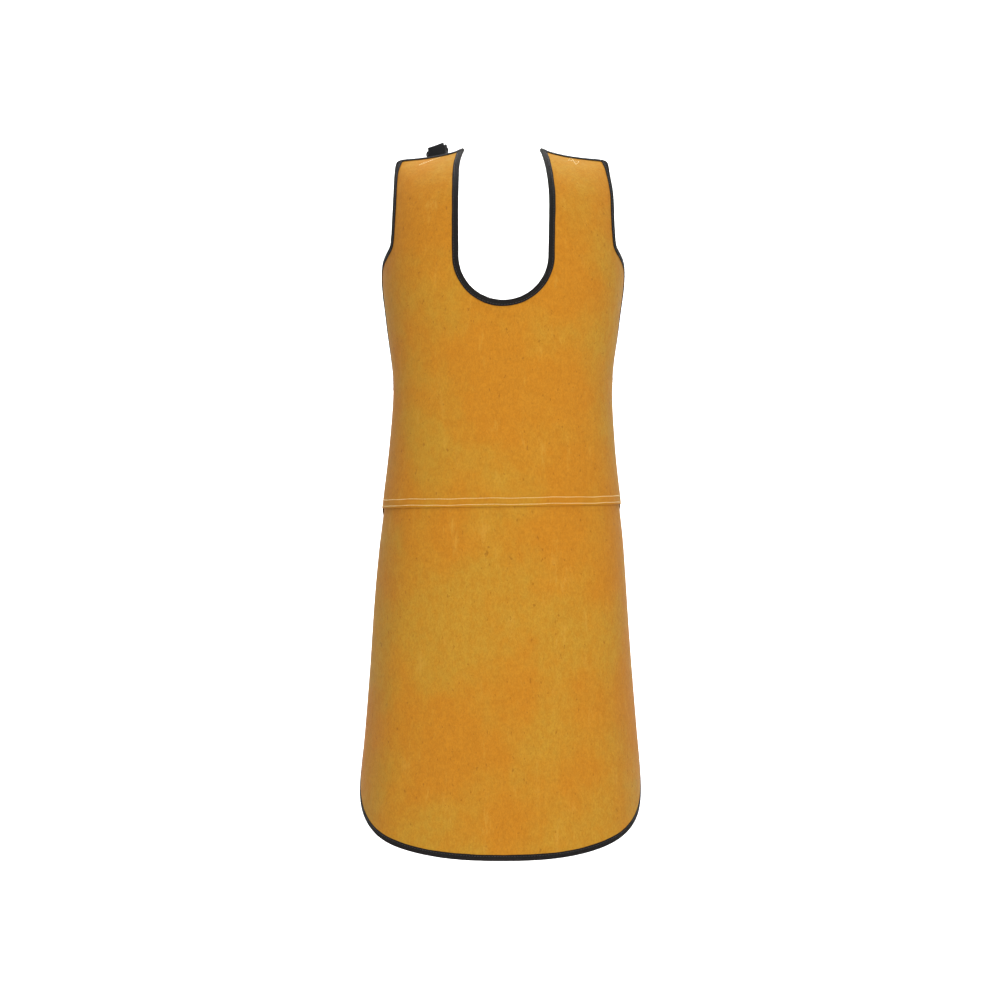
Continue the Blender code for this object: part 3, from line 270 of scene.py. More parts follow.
# Tables of x, y and z by s and v. Each level is a superellipse: x is half its width times sine to
# 2/power, and y is its reach times cosine to 2/power, read off by arc length.
def makeSkin(tilt, otherTilt, facing):
    v, height, depth = middleLine(tilt)
    _, otherHeight, otherDepth = middleLine(otherTilt)
    half = smoothThrough(wearer["halfWidth"], -height / mm) * mm
    side = smoothThrough(wearer["sidePlace"], -height / mm) * mm
    order = np.argsort(-otherHeight)
    other = np.interp(-height, -otherHeight[order], otherDepth[order])
    near = depth - facing * side
    far = np.maximum(other + facing * side, 60 * mm)
    turn = np.linspace(0, 0.94 * math.pi, 400)
    across = np.sin(turn) ** (2 / wearer["power"])
    along = np.sign(np.cos(turn)) * np.abs(np.cos(turn)) ** (2 / wearer["power"])
    columns = np.arange(0, wearer["roundTo"], wearer["columnStep"])
    x = np.empty((len(v), len(columns)))
    y = np.empty_like(x)
    for k in range(len(v)):
        levelX = half[k] * across
        levelY = side[k] + facing * np.where(along > 0, near[k], far[k]) * along
        roundIt = np.concatenate([[0], np.cumsum(np.hypot(np.diff(levelX), np.diff(levelY)))])
        x[k] = np.interp(columns, roundIt, levelX)
        y[k] = np.interp(columns, roundIt, levelY)
    return {"x": x, "y": y, "z": height, "v0": v[0], "facing": facing, "columns": columns}


# Points of the skin: the tables read between their entries, less the shoulders' drop.
def onSkin(skin, s, v):
    s, v = np.broadcast_arrays(np.asarray(s, float), np.asarray(v, float))
    row = np.clip((v - skin["v0"]) / wearer["rowStep"], 0, len(skin["x"]) - 1.001)
    column = np.clip(np.abs(s) / wearer["columnStep"], 0, skin["x"].shape[1] - 1.001)
    i, j = row.astype(int), column.astype(int)
    a, b = row - i, column - j

    def read(table):
        upper = table[i, j] * (1 - b) + table[i, j + 1] * b
        lower = table[i + 1, j] * (1 - b) + table[i + 1, j + 1] * b
        return upper * (1 - a) + lower * a

    x = read(skin["x"])
    z = skin["z"][i] * (1 - a) + skin["z"][i + 1] * a
    pastNeck = np.maximum(x - wearer["neckTop"], 0)
    drop = wearer["shoulderDrop"] * (1 - np.exp(-pastNeck / wearer["dropReach"]))
    z = z - drop * (1 - ease(np.abs(v) / wearer["dropFade"]))
    return np.stack([np.sign(s) * x, read(skin["y"]), z], -1)


# Directions straight out of the skin, from the cross product of its two slopes.
def skinNormal(skin, s, v, near=6 * mm):
    alongS = onSkin(skin, np.add(s, near), v) - onSkin(skin, np.subtract(s, near), v)
    alongV = onSkin(skin, s, np.add(v, near)) - onSkin(skin, s, np.subtract(v, near))
    return unit(np.cross(alongS, alongV) * skin["facing"])


# Points lifted off the skin.
def placeOn(skin, s, v, lift=0.0):
    lift = np.broadcast_to(np.asarray(lift, float), np.broadcast(s, v).shape)
    return onSkin(skin, s, v) + lift[..., None] * skinNormal(skin, s, v)


front = makeSkin(wearer["frontTilt"], wearer["backTilt"], -1)
back = makeSkin(wearer["backTilt"], wearer["frontTilt"], 1)
print("wearer's shape worked out")

# the leather's pattern, as it lies flat

leather = {
    "length": 1067 * mm, "hemHalf": 305 * mm, "seamHalf": 264 * mm, "waistHalf": 252 * mm,
    "underarmHalf": 243 * mm, "armholeHalf": 180 * mm, "shoulderHalf": 150 * mm,
    "armholeDepth": 192 * mm, "underarmDepth": 234 * mm, "waistDepth": 385 * mm,
    "seamDepth": 570 * mm, "seamOverlap": 22 * mm, "thickness": 1.6 * mm, "layerGap": 1.2 * mm,
    "hemRise": 200 * mm, "hemPower": 2.5, "shoulderRadius": 12 * mm,
    "neckDepth": 280 * mm, "neckRadius": 65.5 * mm, "neckBulge": 1 * mm, "neckDensity": 2.9,
    "sideStations": 170, "bottomStations": 70, "bibRows": 64, "skirtRows": 132, "skirtColumns": 150,
}
skirtSink = leather["thickness"] + leather["layerGap"]
skirtTop = leather["seamDepth"] - leather["seamOverlap"]
sideOutline = (
    (0, leather["shoulderHalf"]),
    (leather["armholeDepth"] / 2, (leather["shoulderHalf"] + leather["armholeHalf"]) / 2 + 5 * mm),
    (leather["armholeDepth"], leather["armholeHalf"]),
    (leather["underarmDepth"], leather["underarmHalf"]),
    (leather["waistDepth"], leather["waistHalf"]),
    (leather["seamDepth"], leather["seamHalf"]),
    (leather["length"] - leather["hemRise"], (leather["seamHalf"] + 3 * leather["hemHalf"]) / 4),
    (leather["length"], leather["hemHalf"]),
)


def halfWidth(v):
    return smoothThrough(sideOutline, v)


# Half of the neck line: a gently bulging leg, then a quarter circle to the middle.
def neckEdge(count):
    centre = leather["neckDepth"] - leather["neckRadius"]
    v = np.linspace(0, centre, 40)
    widest = leather["neckRadius"] + leather["neckBulge"]
    leg = ((0, wearer["neckTop"]), (0.35 * centre, widest - 2 * mm), (0.62 * centre, widest),
           (centre, leather["neckRadius"]))
    turn = np.linspace(0, math.pi / 2, 60)[1:]
    arc = np.stack([leather["neckRadius"] * np.cos(turn),
                    centre + leather["neckRadius"] * np.sin(turn)], 1)
    line = np.vstack([np.stack([smoothThrough(leg, v), v], 1), arc])
    return resample(line, count, np.where(line[1:, 1] < centre, 1.0, leather["neckDensity"]))


# The rounded shoulder corner, the armhole and the side down to the seam.
def sideEdge(count):
    r = leather["shoulderRadius"]
    turn = np.linspace(0, math.pi / 2, 12)
    corner = np.stack([float(halfWidth(r)) - r + r * np.sin(turn), r - r * np.cos(turn)], 1)
    v = np.linspace(r, leather["seamDepth"], 200)[1:]
    line = np.vstack([corner, np.stack([halfWidth(v), v], 1)])
    curved = leather["underarmDepth"] + 20 * mm
    return resample(line, count, np.where(line[1:, 1] < curved, 2.2, 1.0))


# Distance down to the hem: the length, less a rise that follows a superellipse.
def hemDepth(share):
    level = np.clip(1 - np.abs(share) ** leather["hemPower"], 0, 1) ** (1 / leather["hemPower"])
    return leather["length"] - leather["hemRise"] * (1 - level)


# how the leather hangs

folds = {
    "skirtCrease": 2.6 * mm, "creaseTop": 142 * mm, "creaseLow": 168 * mm, "creaseWidth": 34 * mm,
    "ripple": 0.9 * mm, "chestSoft": 0.7 * mm, "hemFlare": 2.0 * mm,
    "still": 40 * mm,  # nothing moves this close to the shoulders
    "seamTilt": 0.014, "tiltFade": 120 * mm, "lean": 6 * mm,
}


# How far the leather stands off the wearer's shape: two long folds down the skirt, a slow ripple
# from sines of s and v, and a hem that swings out a little.
def hang(s, v):
    s, v = np.broadcast_arrays(np.asarray(s, float), np.asarray(v, float))
    down = ease((v - leather["waistDepth"]) / (280 * mm))
    fall = np.clip((v - leather["seamDepth"]) / (leather["length"] - leather["seamDepth"]), 0, 1)
    place = folds["creaseTop"] + (folds["creaseLow"] - folds["creaseTop"]) * fall
    left = bump(s + place + 5 * mm * np.sin(9 * v), folds["creaseWidth"])
    right = bump(s - place - 9 * mm + 4 * mm * np.sin(7 * v + 1), folds["creaseWidth"])
    crease = folds["skirtCrease"] * down * (left + 0.8 * right)
    ripple = folds["ripple"] * (np.sin(23 * s + 5 * v + 0.6) * np.sin(11 * v - 8 * s + 1.9)
                                + 0.5 * np.sin(47 * s - 9 * v) * np.sin(19 * v + 0.4))
    chest = folds["chestSoft"] * np.sin(38 * s + 3 * v) * bump(v - 430 * mm, 120 * mm)
    flare = folds["hemFlare"] * ease((v - 900 * mm) / (160 * mm)) * np.sin(14 * s + 0.8)
    return (crease + ripple + chest + flare) * ease((v - folds["still"]) / (120 * mm))


# Points on the hanging leather, lifted off its middle.
def onLeather(s, v, lift=0.0):
    v = v - folds["seamTilt"] * s * bump(v - leather["seamDepth"], folds["tiltFade"])
    points = placeOn(front, s, v, hang(s, v) + lift)
    points[...,
           0] += folds["lean"] * (0.5 - v / leather["length"]) * ease((v - folds["still"]) / (90 * mm))
    return points


# Directions straight out of the hanging leather.
def leatherNormal(s, v, near=5 * mm):
    alongS = onLeather(np.add(s, near), v) - onLeather(np.subtract(s, near), v)
    alongV = onLeather(s, np.add(v, near)) - onLeather(s, np.subtract(v, near))
    return -unit(np.cross(alongS, alongV))


# materials

# A shader node group with its sockets made, and its two end nodes.
def newGroup(name, inputs, outputs):
    group = bpy.data.node_groups.new(name, "ShaderNodeTree")
    for label, kind, value in inputs:
        socket = group.interface.new_socket(label, in_out="INPUT", socket_type=kind)
        socket.default_value = value
    for label, kind in outputs:
        group.interface.new_socket(label, in_out="OUTPUT", socket_type=kind)
    return group, group.nodes.new("NodeGroupInput"), group.nodes.new("NodeGroupOutput")


# A Math node; a and b are sockets or numbers.
def addMath(tree, operation, a, b=None):
    node = tree.nodes.new("ShaderNodeMath")
    node.operation = operation
    for socket, value in zip(node.inputs, (a, b)):
        if value is None:
            continue
        if isinstance(value, (int, float)):
            socket.default_value = value
        else:
            tree.links.new(value, socket)
    return node.outputs[0]


# A smooth map from one range to another.
def addRange(tree, value, low, high, toLow=0.0, toHigh=1.0):
    node = tree.nodes.new("ShaderNodeMapRange")
    node.interpolation_type = "SMOOTHSTEP"
    tree.links.new(value, node.inputs["Value"])
    for label, number in (("From Min", low), ("From Max", high), ("To Min", toLow),
                          ("To Max", toHigh)):
        node.inputs[label].default_value = number
    return node.outputs["Result"]


# Noise on the given coordinates, stretched before it is read.
def addNoise(tree, vector, scale, detail, rough=0.5, stretch=(1, 1, 1), shift=0.0):
    mapping = tree.nodes.new("ShaderNodeMapping")
    mapping.inputs["Scale"].default_value = stretch
    mapping.inputs["Location"].default_value = (shift, shift * 0.7, shift * 1.3)
    tree.links.new(vector, mapping.inputs["Vector"])
    noise = tree.nodes.new("ShaderNodeTexNoise")
    noise.inputs["Detail"].default_value = detail
    noise.inputs["Roughness"].default_value = rough
    if isinstance(scale, (int, float)):
        noise.inputs["Scale"].default_value = scale
    else:
        tree.links.new(scale, noise.inputs["Scale"])
    tree.links.new(mapping.outputs["Vector"], noise.inputs["Vector"])
    return noise.outputs["Fac"]


# Colour mixed by a mask; low and high are sockets or colours.
def addMix(tree, mask, low, high):
    node = tree.nodes.new("ShaderNodeMix")
    node.data_type = "RGBA"
    node.blend_type = "MIX"
    if isinstance(mask, (int, float)):
        node.inputs[0].default_value = mask
    else:
        tree.links.new(mask, node.inputs[0])
    for socket, value in ((node.inputs[6], low), (node.inputs[7], high)):
        if isinstance(value, tuple):
            socket.default_value = (*value, 1)
        else:
            tree.links.new(value, socket)
    return node.outputs[2]


def addBump(tree, height, strength, distance):
    node = tree.nodes.new("ShaderNodeBump")
    node.inputs["Strength"].default_value = strength
    node.inputs["Distance"].default_value = distance
    tree.links.new(height, node.inputs["Height"])
    return node.outputs["Normal"]


# A Principled material with its constant settings, and its tree and shader.
def newMaterial(name, roughness, **settings):
    material = bpy.data.materials.new(name)
    material.use_nodes = True
    tree = material.node_tree
    shader = tree.nodes["Principled BSDF"]
    shader.inputs["Roughness"].default_value = roughness
    for label, value in settings.items():
        shader.inputs[label.replace("_", " ")].default_value = value
    return material, tree, shader


def useGroup(tree, group, **values):
    node = tree.nodes.new("ShaderNodeGroup")
    node.node_tree = group
    for label, value in values.items():
        node.inputs[label.replace("_", " ")].default_value = value
    return node


# Split leather: broad cloudy patches, a brushed fibre grain, pores and pale scuffs.
def makeHideGroup():
    group, start, end = newGroup("hideGrain", (
        ("Vector", "NodeSocketVector", (0, 0, 0)), ("Fibre Scale", "NodeSocketFloat", 900.0),
        ("Cloud Scale", "NodeSocketFloat", 9.0)), (
        ("Clouds", "NodeSocketFloat"), ("Mottle", "NodeSocketFloat"), ("Fibres", "NodeSocketFloat"),
        ("Flecks", "NodeSocketFloat"), ("Scuffs", "NodeSocketFloat"),
        ("Height", "NodeSocketFloat")))
    vector = start.outputs["Vector"]
    clouds = addNoise(group, vector, start.outputs["Cloud Scale"], 3, 0.5, (1, 1, 0.8), 3.1)
    mottle = addNoise(group, vector, 95.0, 5, 0.68, (1, 1, 0.75), 1.7)
    fibres = addNoise(group, vector, start.outputs["Fibre Scale"], 3, 0.6, (1, 1, 0.42), 0.4)
    coarse = addNoise(group, vector, 330.0, 4, 0.7, (1, 1, 0.6), 5.2)
    fleckNoise = addNoise(group, vector, 210.0, 2, 0.5, (1, 1, 0.55), 8.8)
    flecks = addRange(group, fleckNoise, 0.67, 0.74)
    scuffNoise = addNoise(group, vector, 26.0, 6, 0.74, (1.9, 1.9, 0.5), 6.3)
    scuffs = addRange(group, scuffNoise, 0.56, 0.72)
    height = addMath(group, "ADD", addMath(group, "MULTIPLY", fibres, 0.55),
                     addMath(group, "MULTIPLY", coarse, 0.75))
    height = addMath(group, "SUBTRACT", height, addMath(group, "MULTIPLY", flecks, 0.35))
    mixed = addMath(group, "ADD", addMath(group, "MULTIPLY", fibres, 0.5),
                    addMath(group, "MULTIPLY", coarse, 0.5))
    for label, socket in (("Clouds", addRange(group, clouds, 0.38, 0.62)),
                          ("Mottle", addRange(group, mottle, 0.36, 0.66)),
                          ("Fibres", addRange(group, mixed, 0.36, 0.64)),
                          ("Flecks", flecks), ("Scuffs", scuffs), ("Height", height)):
        group.links.new(socket, end.inputs[label])
    return group


# Plain weave on the piece's UV in metres: two sets of rounded yarns, each on top in turn, and a mask for
# painted shade in the gaps between them.
def makeWeaveGroup():
    group, start, end = newGroup("yarnWeave", (
        ("Vector", "NodeSocketVector", (0, 0, 0)), ("Along", "NodeSocketFloat", 1.2 * mm),
        ("Across", "NodeSocketFloat", 0.9 * mm)), (
        ("Height", "NodeSocketFloat"), ("GapShade", "NodeSocketFloat"), ("Fuzz", "NodeSocketFloat")))
    split = group.nodes.new("ShaderNodeSeparateXYZ")
    group.links.new(start.outputs["Vector"], split.inputs[0])
    u = addMath(group, "DIVIDE", split.outputs[0], start.outputs["Along"])
    v = addMath(group, "DIVIDE", split.outputs[1], start.outputs["Across"])
    ridgeU = addMath(group, "ABSOLUTE",
                     addMath(group, "SINE", addMath(group, "MULTIPLY", u, math.pi)))
    ridgeV = addMath(group, "ABSOLUTE",
                     addMath(group, "SINE", addMath(group, "MULTIPLY", v, math.pi)))
    turn = addMath(group, "ADD", addMath(group, "FLOOR", u), addMath(group, "FLOOR", v))
    onTop = addMath(group, "PINGPONG", turn, 1.0)
    top = addMath(group, "MULTIPLY", ridgeU, onTop)
    under = addMath(group, "MULTIPLY", ridgeV, addMath(group, "SUBTRACT", 1.0, onTop))
    height = addMath(group, "ADD", top, under)
    fuzz = addNoise(group, start.outputs["Vector"], 2600.0, 3, 0.6)
    group.links.new(height, end.inputs["Height"])
    # The gap mask marks painted shade: 1 where the weave is low, between the yarns.
    group.links.new(addRange(group, height, 0.0, 0.55, 1.0, 0.0), end.inputs["GapShade"])
    group.links.new(fuzz, end.inputs["Fuzz"])
    return group


def coordinates(tree, output):
    return tree.nodes.new("ShaderNodeTexCoord").outputs[output]


hide = {
    "main": (0.455, 0.180, 0.011), "gold": (0.425, 0.222, 0.019), "rust": (0.415, 0.152, 0.010),
    "deep": (0.190, 0.075, 0.006), "pale": (0.560, 0.325, 0.050), "roughness": 0.94,
}


# Golden split leather: its colours mixed by the hide's own masks.
def leatherMaterial(name, group, lightness=1.0):
    tint = {key: tuple(channel * lightness for channel in hide[key])
            for key in ("main", "gold", "rust", "deep", "pale")}
    material, tree, shader = newMaterial(name, hide["roughness"], Sheen_Weight=0.05,
                                         Sheen_Roughness=0.55, Specular_IOR_Level=0.10)
    grain = useGroup(tree, group)
    tree.links.new(coordinates(tree, "Object"), grain.inputs["Vector"])
    cloudy = addMix(tree, grain.outputs["Clouds"], tint["main"], tint["gold"])
    mottled = addMix(tree, addMath(tree, "MULTIPLY", grain.outputs["Mottle"], 0.40), cloudy,
                     tint["rust"])
    fibred = addMix(tree, addMath(tree, "MULTIPLY", grain.outputs["Fibres"], 0.36), mottled,
                    tint["deep"])
    scuffed = addMix(tree, addMath(tree, "MULTIPLY", grain.outputs["Scuffs"], 0.30), fibred,
                     tint["pale"])
    flecked = addMix(tree, addMath(tree, "MULTIPLY", grain.outputs["Flecks"], 0.55), scuffed,
                     tint["deep"])
    tree.links.new(flecked, shader.inputs["Base Color"])
    tree.links.new(addRange(tree, grain.outputs["Mottle"], 0.0, 1.0, 0.84, 0.96),
                   shader.inputs["Roughness"])
    tree.links.new(addBump(tree, grain.outputs["Height"], 0.55, 0.5 * mm), shader.inputs["Normal"])
    return material


# The gap colours are painted shade for the hollows between the yarns.
cloth = {
    "binding": {"yarn": (0.010, 0.0085, 0.008), "gap": (0.003, 0.003, 0.003),
                "worn": (0.020, 0.017, 0.015),
                "along": 0.8 * mm, "across": 0.7 * mm, "depth": 0.18 * mm},
    "webbing": {"yarn": (0.012, 0.012, 0.013), "gap": (0.003, 0.003, 0.003),
                "worn": (0.030, 0.030, 0.032),
                "along": 1.25 * mm, "across": 1.05 * mm, "depth": 0.32 * mm},
}


# Woven tape: painted shade in the gaps between yarns, where the weave is low, and paler fibres scattered by a
# fine noise.
def clothMaterial(name, group, values):
    material, tree, shader = newMaterial(name, 0.8, Sheen_Weight=0.03, Sheen_Roughness=0.45,
                                         Specular_IOR_Level=0.12)
    weave = useGroup(tree, group, Along=values["along"], Across=values["across"])
    tree.links.new(coordinates(tree, "UV"), weave.inputs["Vector"])
    worn = addMath(tree, "MULTIPLY", addRange(tree, weave.outputs["Fuzz"], 0.48, 0.72), 0.6)
    colour = addMix(tree, worn, values["yarn"], values["worn"])
    # Painted shade: the gap colour where the weave is low.
    colour = addMix(tree, weave.outputs["GapShade"], colour, values["gap"])
    tree.links.new(colour, shader.inputs["Base Color"])
    tree.links.new(addRange(tree, weave.outputs["Height"], 0.0, 1.0, 0.95, 0.66),
                   shader.inputs["Roughness"])
    tree.links.new(addBump(tree, weave.outputs["Height"], 0.9, values["depth"]),
                   shader.inputs["Normal"])
    return material


# The deep colours are painted shade in the grooves between the plies; the pale ones are the thread's colour.
thread = {"pale": (0.86, 0.70, 0.36), "deep": (0.62, 0.42, 0.13), "twist": 2600.0,
          "blackPale": (0.030, 0.027, 0.026), "blackGrooveShade": (0.010, 0.009, 0.009)}


# Twisted thread: slanting plies, with a little unevenness; the deep colour is painted shade in the grooves
# between plies, where the bump is low.
def threadMaterial(name, pale, deep):
    material, tree, shader = newMaterial(name, 0.6, Sheen_Weight=0.15, Sheen_Roughness=0.4)
    wave = tree.nodes.new("ShaderNodeTexWave")
    wave.bands_direction = "DIAGONAL"
    wave.inputs["Scale"].default_value = thread["twist"] / 12
    wave.inputs["Distortion"].default_value = 0.4
    tree.links.new(coordinates(tree, "Object"), wave.inputs["Vector"])
    # Painted shade: the deep colour where the wave is low, in the grooves the bump makes.
    colour = addMix(tree, wave.outputs["Fac"], deep, pale)
    tree.links.new(colour, shader.inputs["Base Color"])
    tree.links.new(addBump(tree, wave.outputs["Fac"], 0.5, 0.1 * mm), shader.inputs["Normal"])
    return material


moulded = {"base": (0.008, 0.008, 0.009), "worn": (0.018, 0.018, 0.020)}


# Moulded acetal: a fine spark texture, cloudy polish and faint rubbed patches.
def plasticMaterial(name):
    material, tree, shader = newMaterial(name, 0.38, Specular_IOR_Level=0.30)
    vector = coordinates(tree, "Object")
    cloud = addNoise(tree, vector, 160.0, 4, 0.6)
    fine = addNoise(tree, vector, 2400.0, 2, 0.5)
    colour = addMix(tree, addRange(tree, cloud, 0.50, 0.72), moulded["base"], moulded["worn"])
    tree.links.new(colour, shader.inputs["Base Color"])
    tree.links.new(addRange(tree, cloud, 0.3, 0.7, 0.34, 0.50), shader.inputs["Roughness"])
    tree.links.new(addBump(tree, fine, 0.35, 0.05 * mm), shader.inputs["Normal"])
    return material


hideGroup = makeHideGroup()
weaveGroup = makeWeaveGroup()
leatherFinish = leatherMaterial("golden_split_leather", hideGroup)
bindingFinish = clothMaterial("black_binding_tape", weaveGroup, cloth["binding"])
webbingFinish = clothMaterial("black_webbing", weaveGroup, cloth["webbing"])
threadFinish = threadMaterial("yellow_thread", thread["pale"], thread["deep"])
blackThread = threadMaterial("black_thread", thread["blackPale"], thread["blackGrooveShade"])
plasticFinish = plasticMaterial("black_moulded_plastic")
print("materials made")

floorMaterial, floorTree, floorShader = newMaterial("studio_floor", 0.9)
floorShader.inputs["Base Color"].default_value = studio["floorColour"]


# Floor and backdrop in one: level, then a quarter circle up to a wall, carried sideways.
def makeFloor():
    low, radius, wall = apronLow - studio["floorDrop"], studio["sweepRadius"], studio["wallAt"]
    turn = np.linspace(0, math.pi / 2, 24)
    sweep = np.stack([wall - radius + radius * np.sin(turn), low + radius - radius * np.cos(turn)],
                     1)
    profile = np.vstack([(studio["floorFront"], low), (0, low), sweep, (wall, studio["wallTop"])])
    x = np.array([-studio["floorHalf"], studio["floorHalf"]])
    points = np.stack([np.tile(x, (len(profile), 1)),
                       *(np.tile(profile[:, k:k + 1], 2) for k in (0, 1))], -1)
    floor = makePiece("studio_floor", points, gridFaces(len(profile), 2), floorMaterial)


makeFloor()
print("studio ready")

# leather panels


def thicken(piece, thickness, offset=0.0):
    wall = piece.modifiers.new("Wall", "SOLIDIFY")
    wall.thickness = thickness
    wall.offset = offset
    wall.use_even_offset = False
    return piece


# Places across as shares of the half width, closer together towards the sides.
def skirtShares(count):
    return np.sin(np.linspace(-1, 1, count) * math.pi / 2)


def bibOutline():
    share = np.sin(np.linspace(math.pi / 2, 0, leather["bottomStations"] + 1))[1:]
    bottom = np.stack([share * float(halfWidth(leather["seamDepth"])),
                       np.full(len(share), leather["seamDepth"])], 1)
    return np.vstack([sideEdge(leather["sideStations"]), bottom])


# Area of a flat grid, from the cross products of its cells' diagonals.
def flatArea(grid):
    a = grid[1:, 1:] - grid[:-1, :-1]
    b = grid[1:, :-1] - grid[:-1, 1:]
    return float(np.abs(a[..., 0] * b[..., 1] - a[..., 1] * b[..., 0]).sum() / 2)


# Straight rows from the neck line out to the armhole, side and seam, mirrored across.
def makeBib():
    outer = bibOutline()
    inner = neckEdge(len(outer))
    share = (1 - np.cos(np.linspace(0, math.pi, leather["bibRows"])))[:, None, None] / 2
    half = inner * (1 - share) + outer * share
    flat = np.concatenate([half, half[:, -2::-1] * (-1, 1)], axis=1)
    points = onLeather(flat[..., 0], flat[..., 1])
    faces = gridFaces(*flat.shape[:2])
    panel = makePiece("chest_leather", points, faces, leatherFinish, gridUv(flat))
    faceForwards(panel)
    thicken(panel, leather["thickness"])
    settle(panel, "apron", "leather", "bib_panel")
    return panel, flatArea(flat)


# A grid of shares of the half width by rows down to the curved hem.
def makeSkirt():
    share = skirtShares(leather["skirtColumns"])
    step = np.linspace(0, 1, leather["skirtRows"])[:, None]
    v = skirtTop + step * (hemDepth(share) - skirtTop)
    s = share * halfWidth(v)
    under = ease((v - leather["seamDepth"] - 6 * mm) / (50 * mm))
    lift = -skirtSink + 0.9 * mm * under
    points = onLeather(s, v, lift)
    flat = np.stack([s, v], -1)
    panel = makePiece("skirt_leather", points, gridFaces(*s.shape), leatherFinish, gridUv(flat))
    faceForwards(panel)
    thicken(panel, leather["thickness"])
    settle(panel, "apron", "leather", "skirt_panel")
    return panel, flatArea(flat)


# Turns an open front panel round if its faces point to the wearer.
def faceForwards(piece):
    mesh = piece.data
    normals = np.empty(len(mesh.polygons) * 3, np.float32)
    mesh.polygons.foreach_get("normal", normals)
    if normals.reshape(-1, 3)[:, 1].sum() > 0:
        mesh.flip_normals()


bib, bibArea = makeBib()
skirt, skirtArea = makeSkirt()
print("leather panels made")

# binding tape

tape = {"width": 7 * mm, "thickness": 0.7 * mm, "gap": 0.75 * mm, "over": 1.3 * mm,
        "stitchInset": 4.8 * mm, "pinch": 0.28 * mm, "endRise": 0.85 * mm, "endInset": 1.0 * mm,
        "step": 2.4 * mm, "wander": 0.16 * mm}
seam = {"start": 2 * mm, "run": 9 * mm}


# Unit directions in the flat leather from an edge towards the leather.
def inwardOf(path, inside):
    tangent = unit(np.gradient(path, axis=0))
    across = np.stack([-tangent[:, 1], tangent[:, 0]], 1)
    middle = len(path) // 2
    return across if np.dot(across[middle], np.asarray(inside) - path[middle]) > 0 else -across


# How far out the leather's outer face is: the bib's, then the skirt's.
def outerSkin(v):
    return leather["thickness"] / 2 - skirtSink * ease((v - leather["seamDepth"] - seam["start"]) / seam["run"])


# How far out the leather's inner face is, with the skirt's top edge behind the bib.
def innerSkin(v):
    start = skirtTop - seam["start"] - seam["run"]
    return -leather["thickness"] / 2 - skirtSink * ease((v - start) / seam["run"])


# Tape folded over an edge: a U round the edge, its legs pinched along the stitches. Its ends can
# rise to lie over another tape.
def foldedTape(name, path, inside, node, endRise=0.0):
    inward = inwardOf(path, inside)
    along = lengthAlong(path)
    fromEnd = np.minimum(along, along[-1] - along)
    rise = tape["gap"] + endRise * (1 - ease((fromEnd - tape["width"]) / tape["width"]))
    outer = outerSkin(path[:, 1]) + rise
    inner = innerSkin(path[:, 1]) - rise
    middle, half = (outer + inner) / 2, (outer - inner) / 2
    leg = np.linspace(tape["width"], 0, 8)
    turn = np.linspace(0, math.pi, 9)
    inset = np.concatenate([leg, -tape["over"] * np.sin(turn)[1:-1], leg[::-1]])
    side = np.concatenate([np.ones(8), np.cos(turn)[1:-1], -np.ones(8)])
    pinch = tape["pinch"] * bump(inset - tape["stitchInset"],
                                 1.1 * mm) * np.sign(side) * (inset >= 0)
    pinch += 0.35 * mm * bump(inset - tape["width"], 0.5 * mm) * np.sign(side)
    wander = tape["wander"] * (np.sin(along * 61) + 0.6 * np.sin(along * 173 + 1))
    flat = path[None] + inward[None] * inset[:, None,
                                             None] * (1 + wander[None, :, None] / tape["width"])
    lift = middle[None] + side[:, None] * half[None] - pinch[:, None]
    lift = lift + side[:, None] * 0.10 * mm * np.sin(along * 1571)[None]
    points = onLeather(flat[..., 0], flat[..., 1], lift)
    points = points.transpose(1, 0, 2)
    profile = lengthAlong(points[len(points) // 2])
    uv = np.stack(np.broadcast_arrays(along[:, None], profile[None, :]), -1)
    piece = makePiece(name, points, gridFaces(*points.shape[:2]), bindingFinish, gridUv(uv))
    if np.dot(piece.data.polygons[2].normal, skinNormal(front, *path[0])) < 0:
        piece.data.flip_normals()
    thicken(piece, tape["thickness"], 1)
    settle(piece, "apron", "binding", node)
    return piece


def neckPath():
    half = neckEdge(240)
    whole = np.vstack([half, half[-2::-1] * (-1, 1)])
    return resample(whole, int(lengthAlong(whole)[-1] / tape["step"]))


# The outer edge, from one shoulder's end round the hem to the other's.
def edgePath():
    side = sideEdge(260)
    start = wearer["neckTop"] + tape["endInset"]
    shoulder = np.stack([np.linspace(start, side[0, 0], 30)[:-1], np.zeros(29)], 1)
    v = np.linspace(leather["seamDepth"], hemDepth(1), 90)[1:]
    skirtSide = np.stack([halfWidth(v), v], 1)
    share = np.sin(np.linspace(math.pi / 2, 0, 240))[1:]
    hemV = hemDepth(share)
    hem = np.stack([share * halfWidth(hemV), hemV], 1)
    half = np.vstack([shoulder, side, skirtSide, hem])
    whole = np.vstack([half, half[-2::-1] * (-1, 1)])
    return resample(roundOff(resample(whole, 1600), 3), int(lengthAlong(whole)[-1] / tape["step"]))


neckLine, edgeLine = neckPath(), edgePath()
neckBinding = foldedTape("neck_tape", neckLine, (0, leather["seamDepth"]), "neck_binding",
                         tape["endRise"])
edgeBinding = foldedTape("edge_tape", edgeLine, (0, 0), "edge_binding")
print("binding made")

# stitches

stitch = {"radius": 0.42 * mm, "sides": 6, "shapeSeed": 11,
          "waist": {"pitch": 4.2 * mm, "length": 3.1 * mm},
          "tape": {"pitch": 4.0 * mm, "length": 2.9 * mm},
          "box": {"pitch": 3.6 * mm, "length": 2.7 * mm}}
draws = np.random.default_rng(stitch["shapeSeed"])
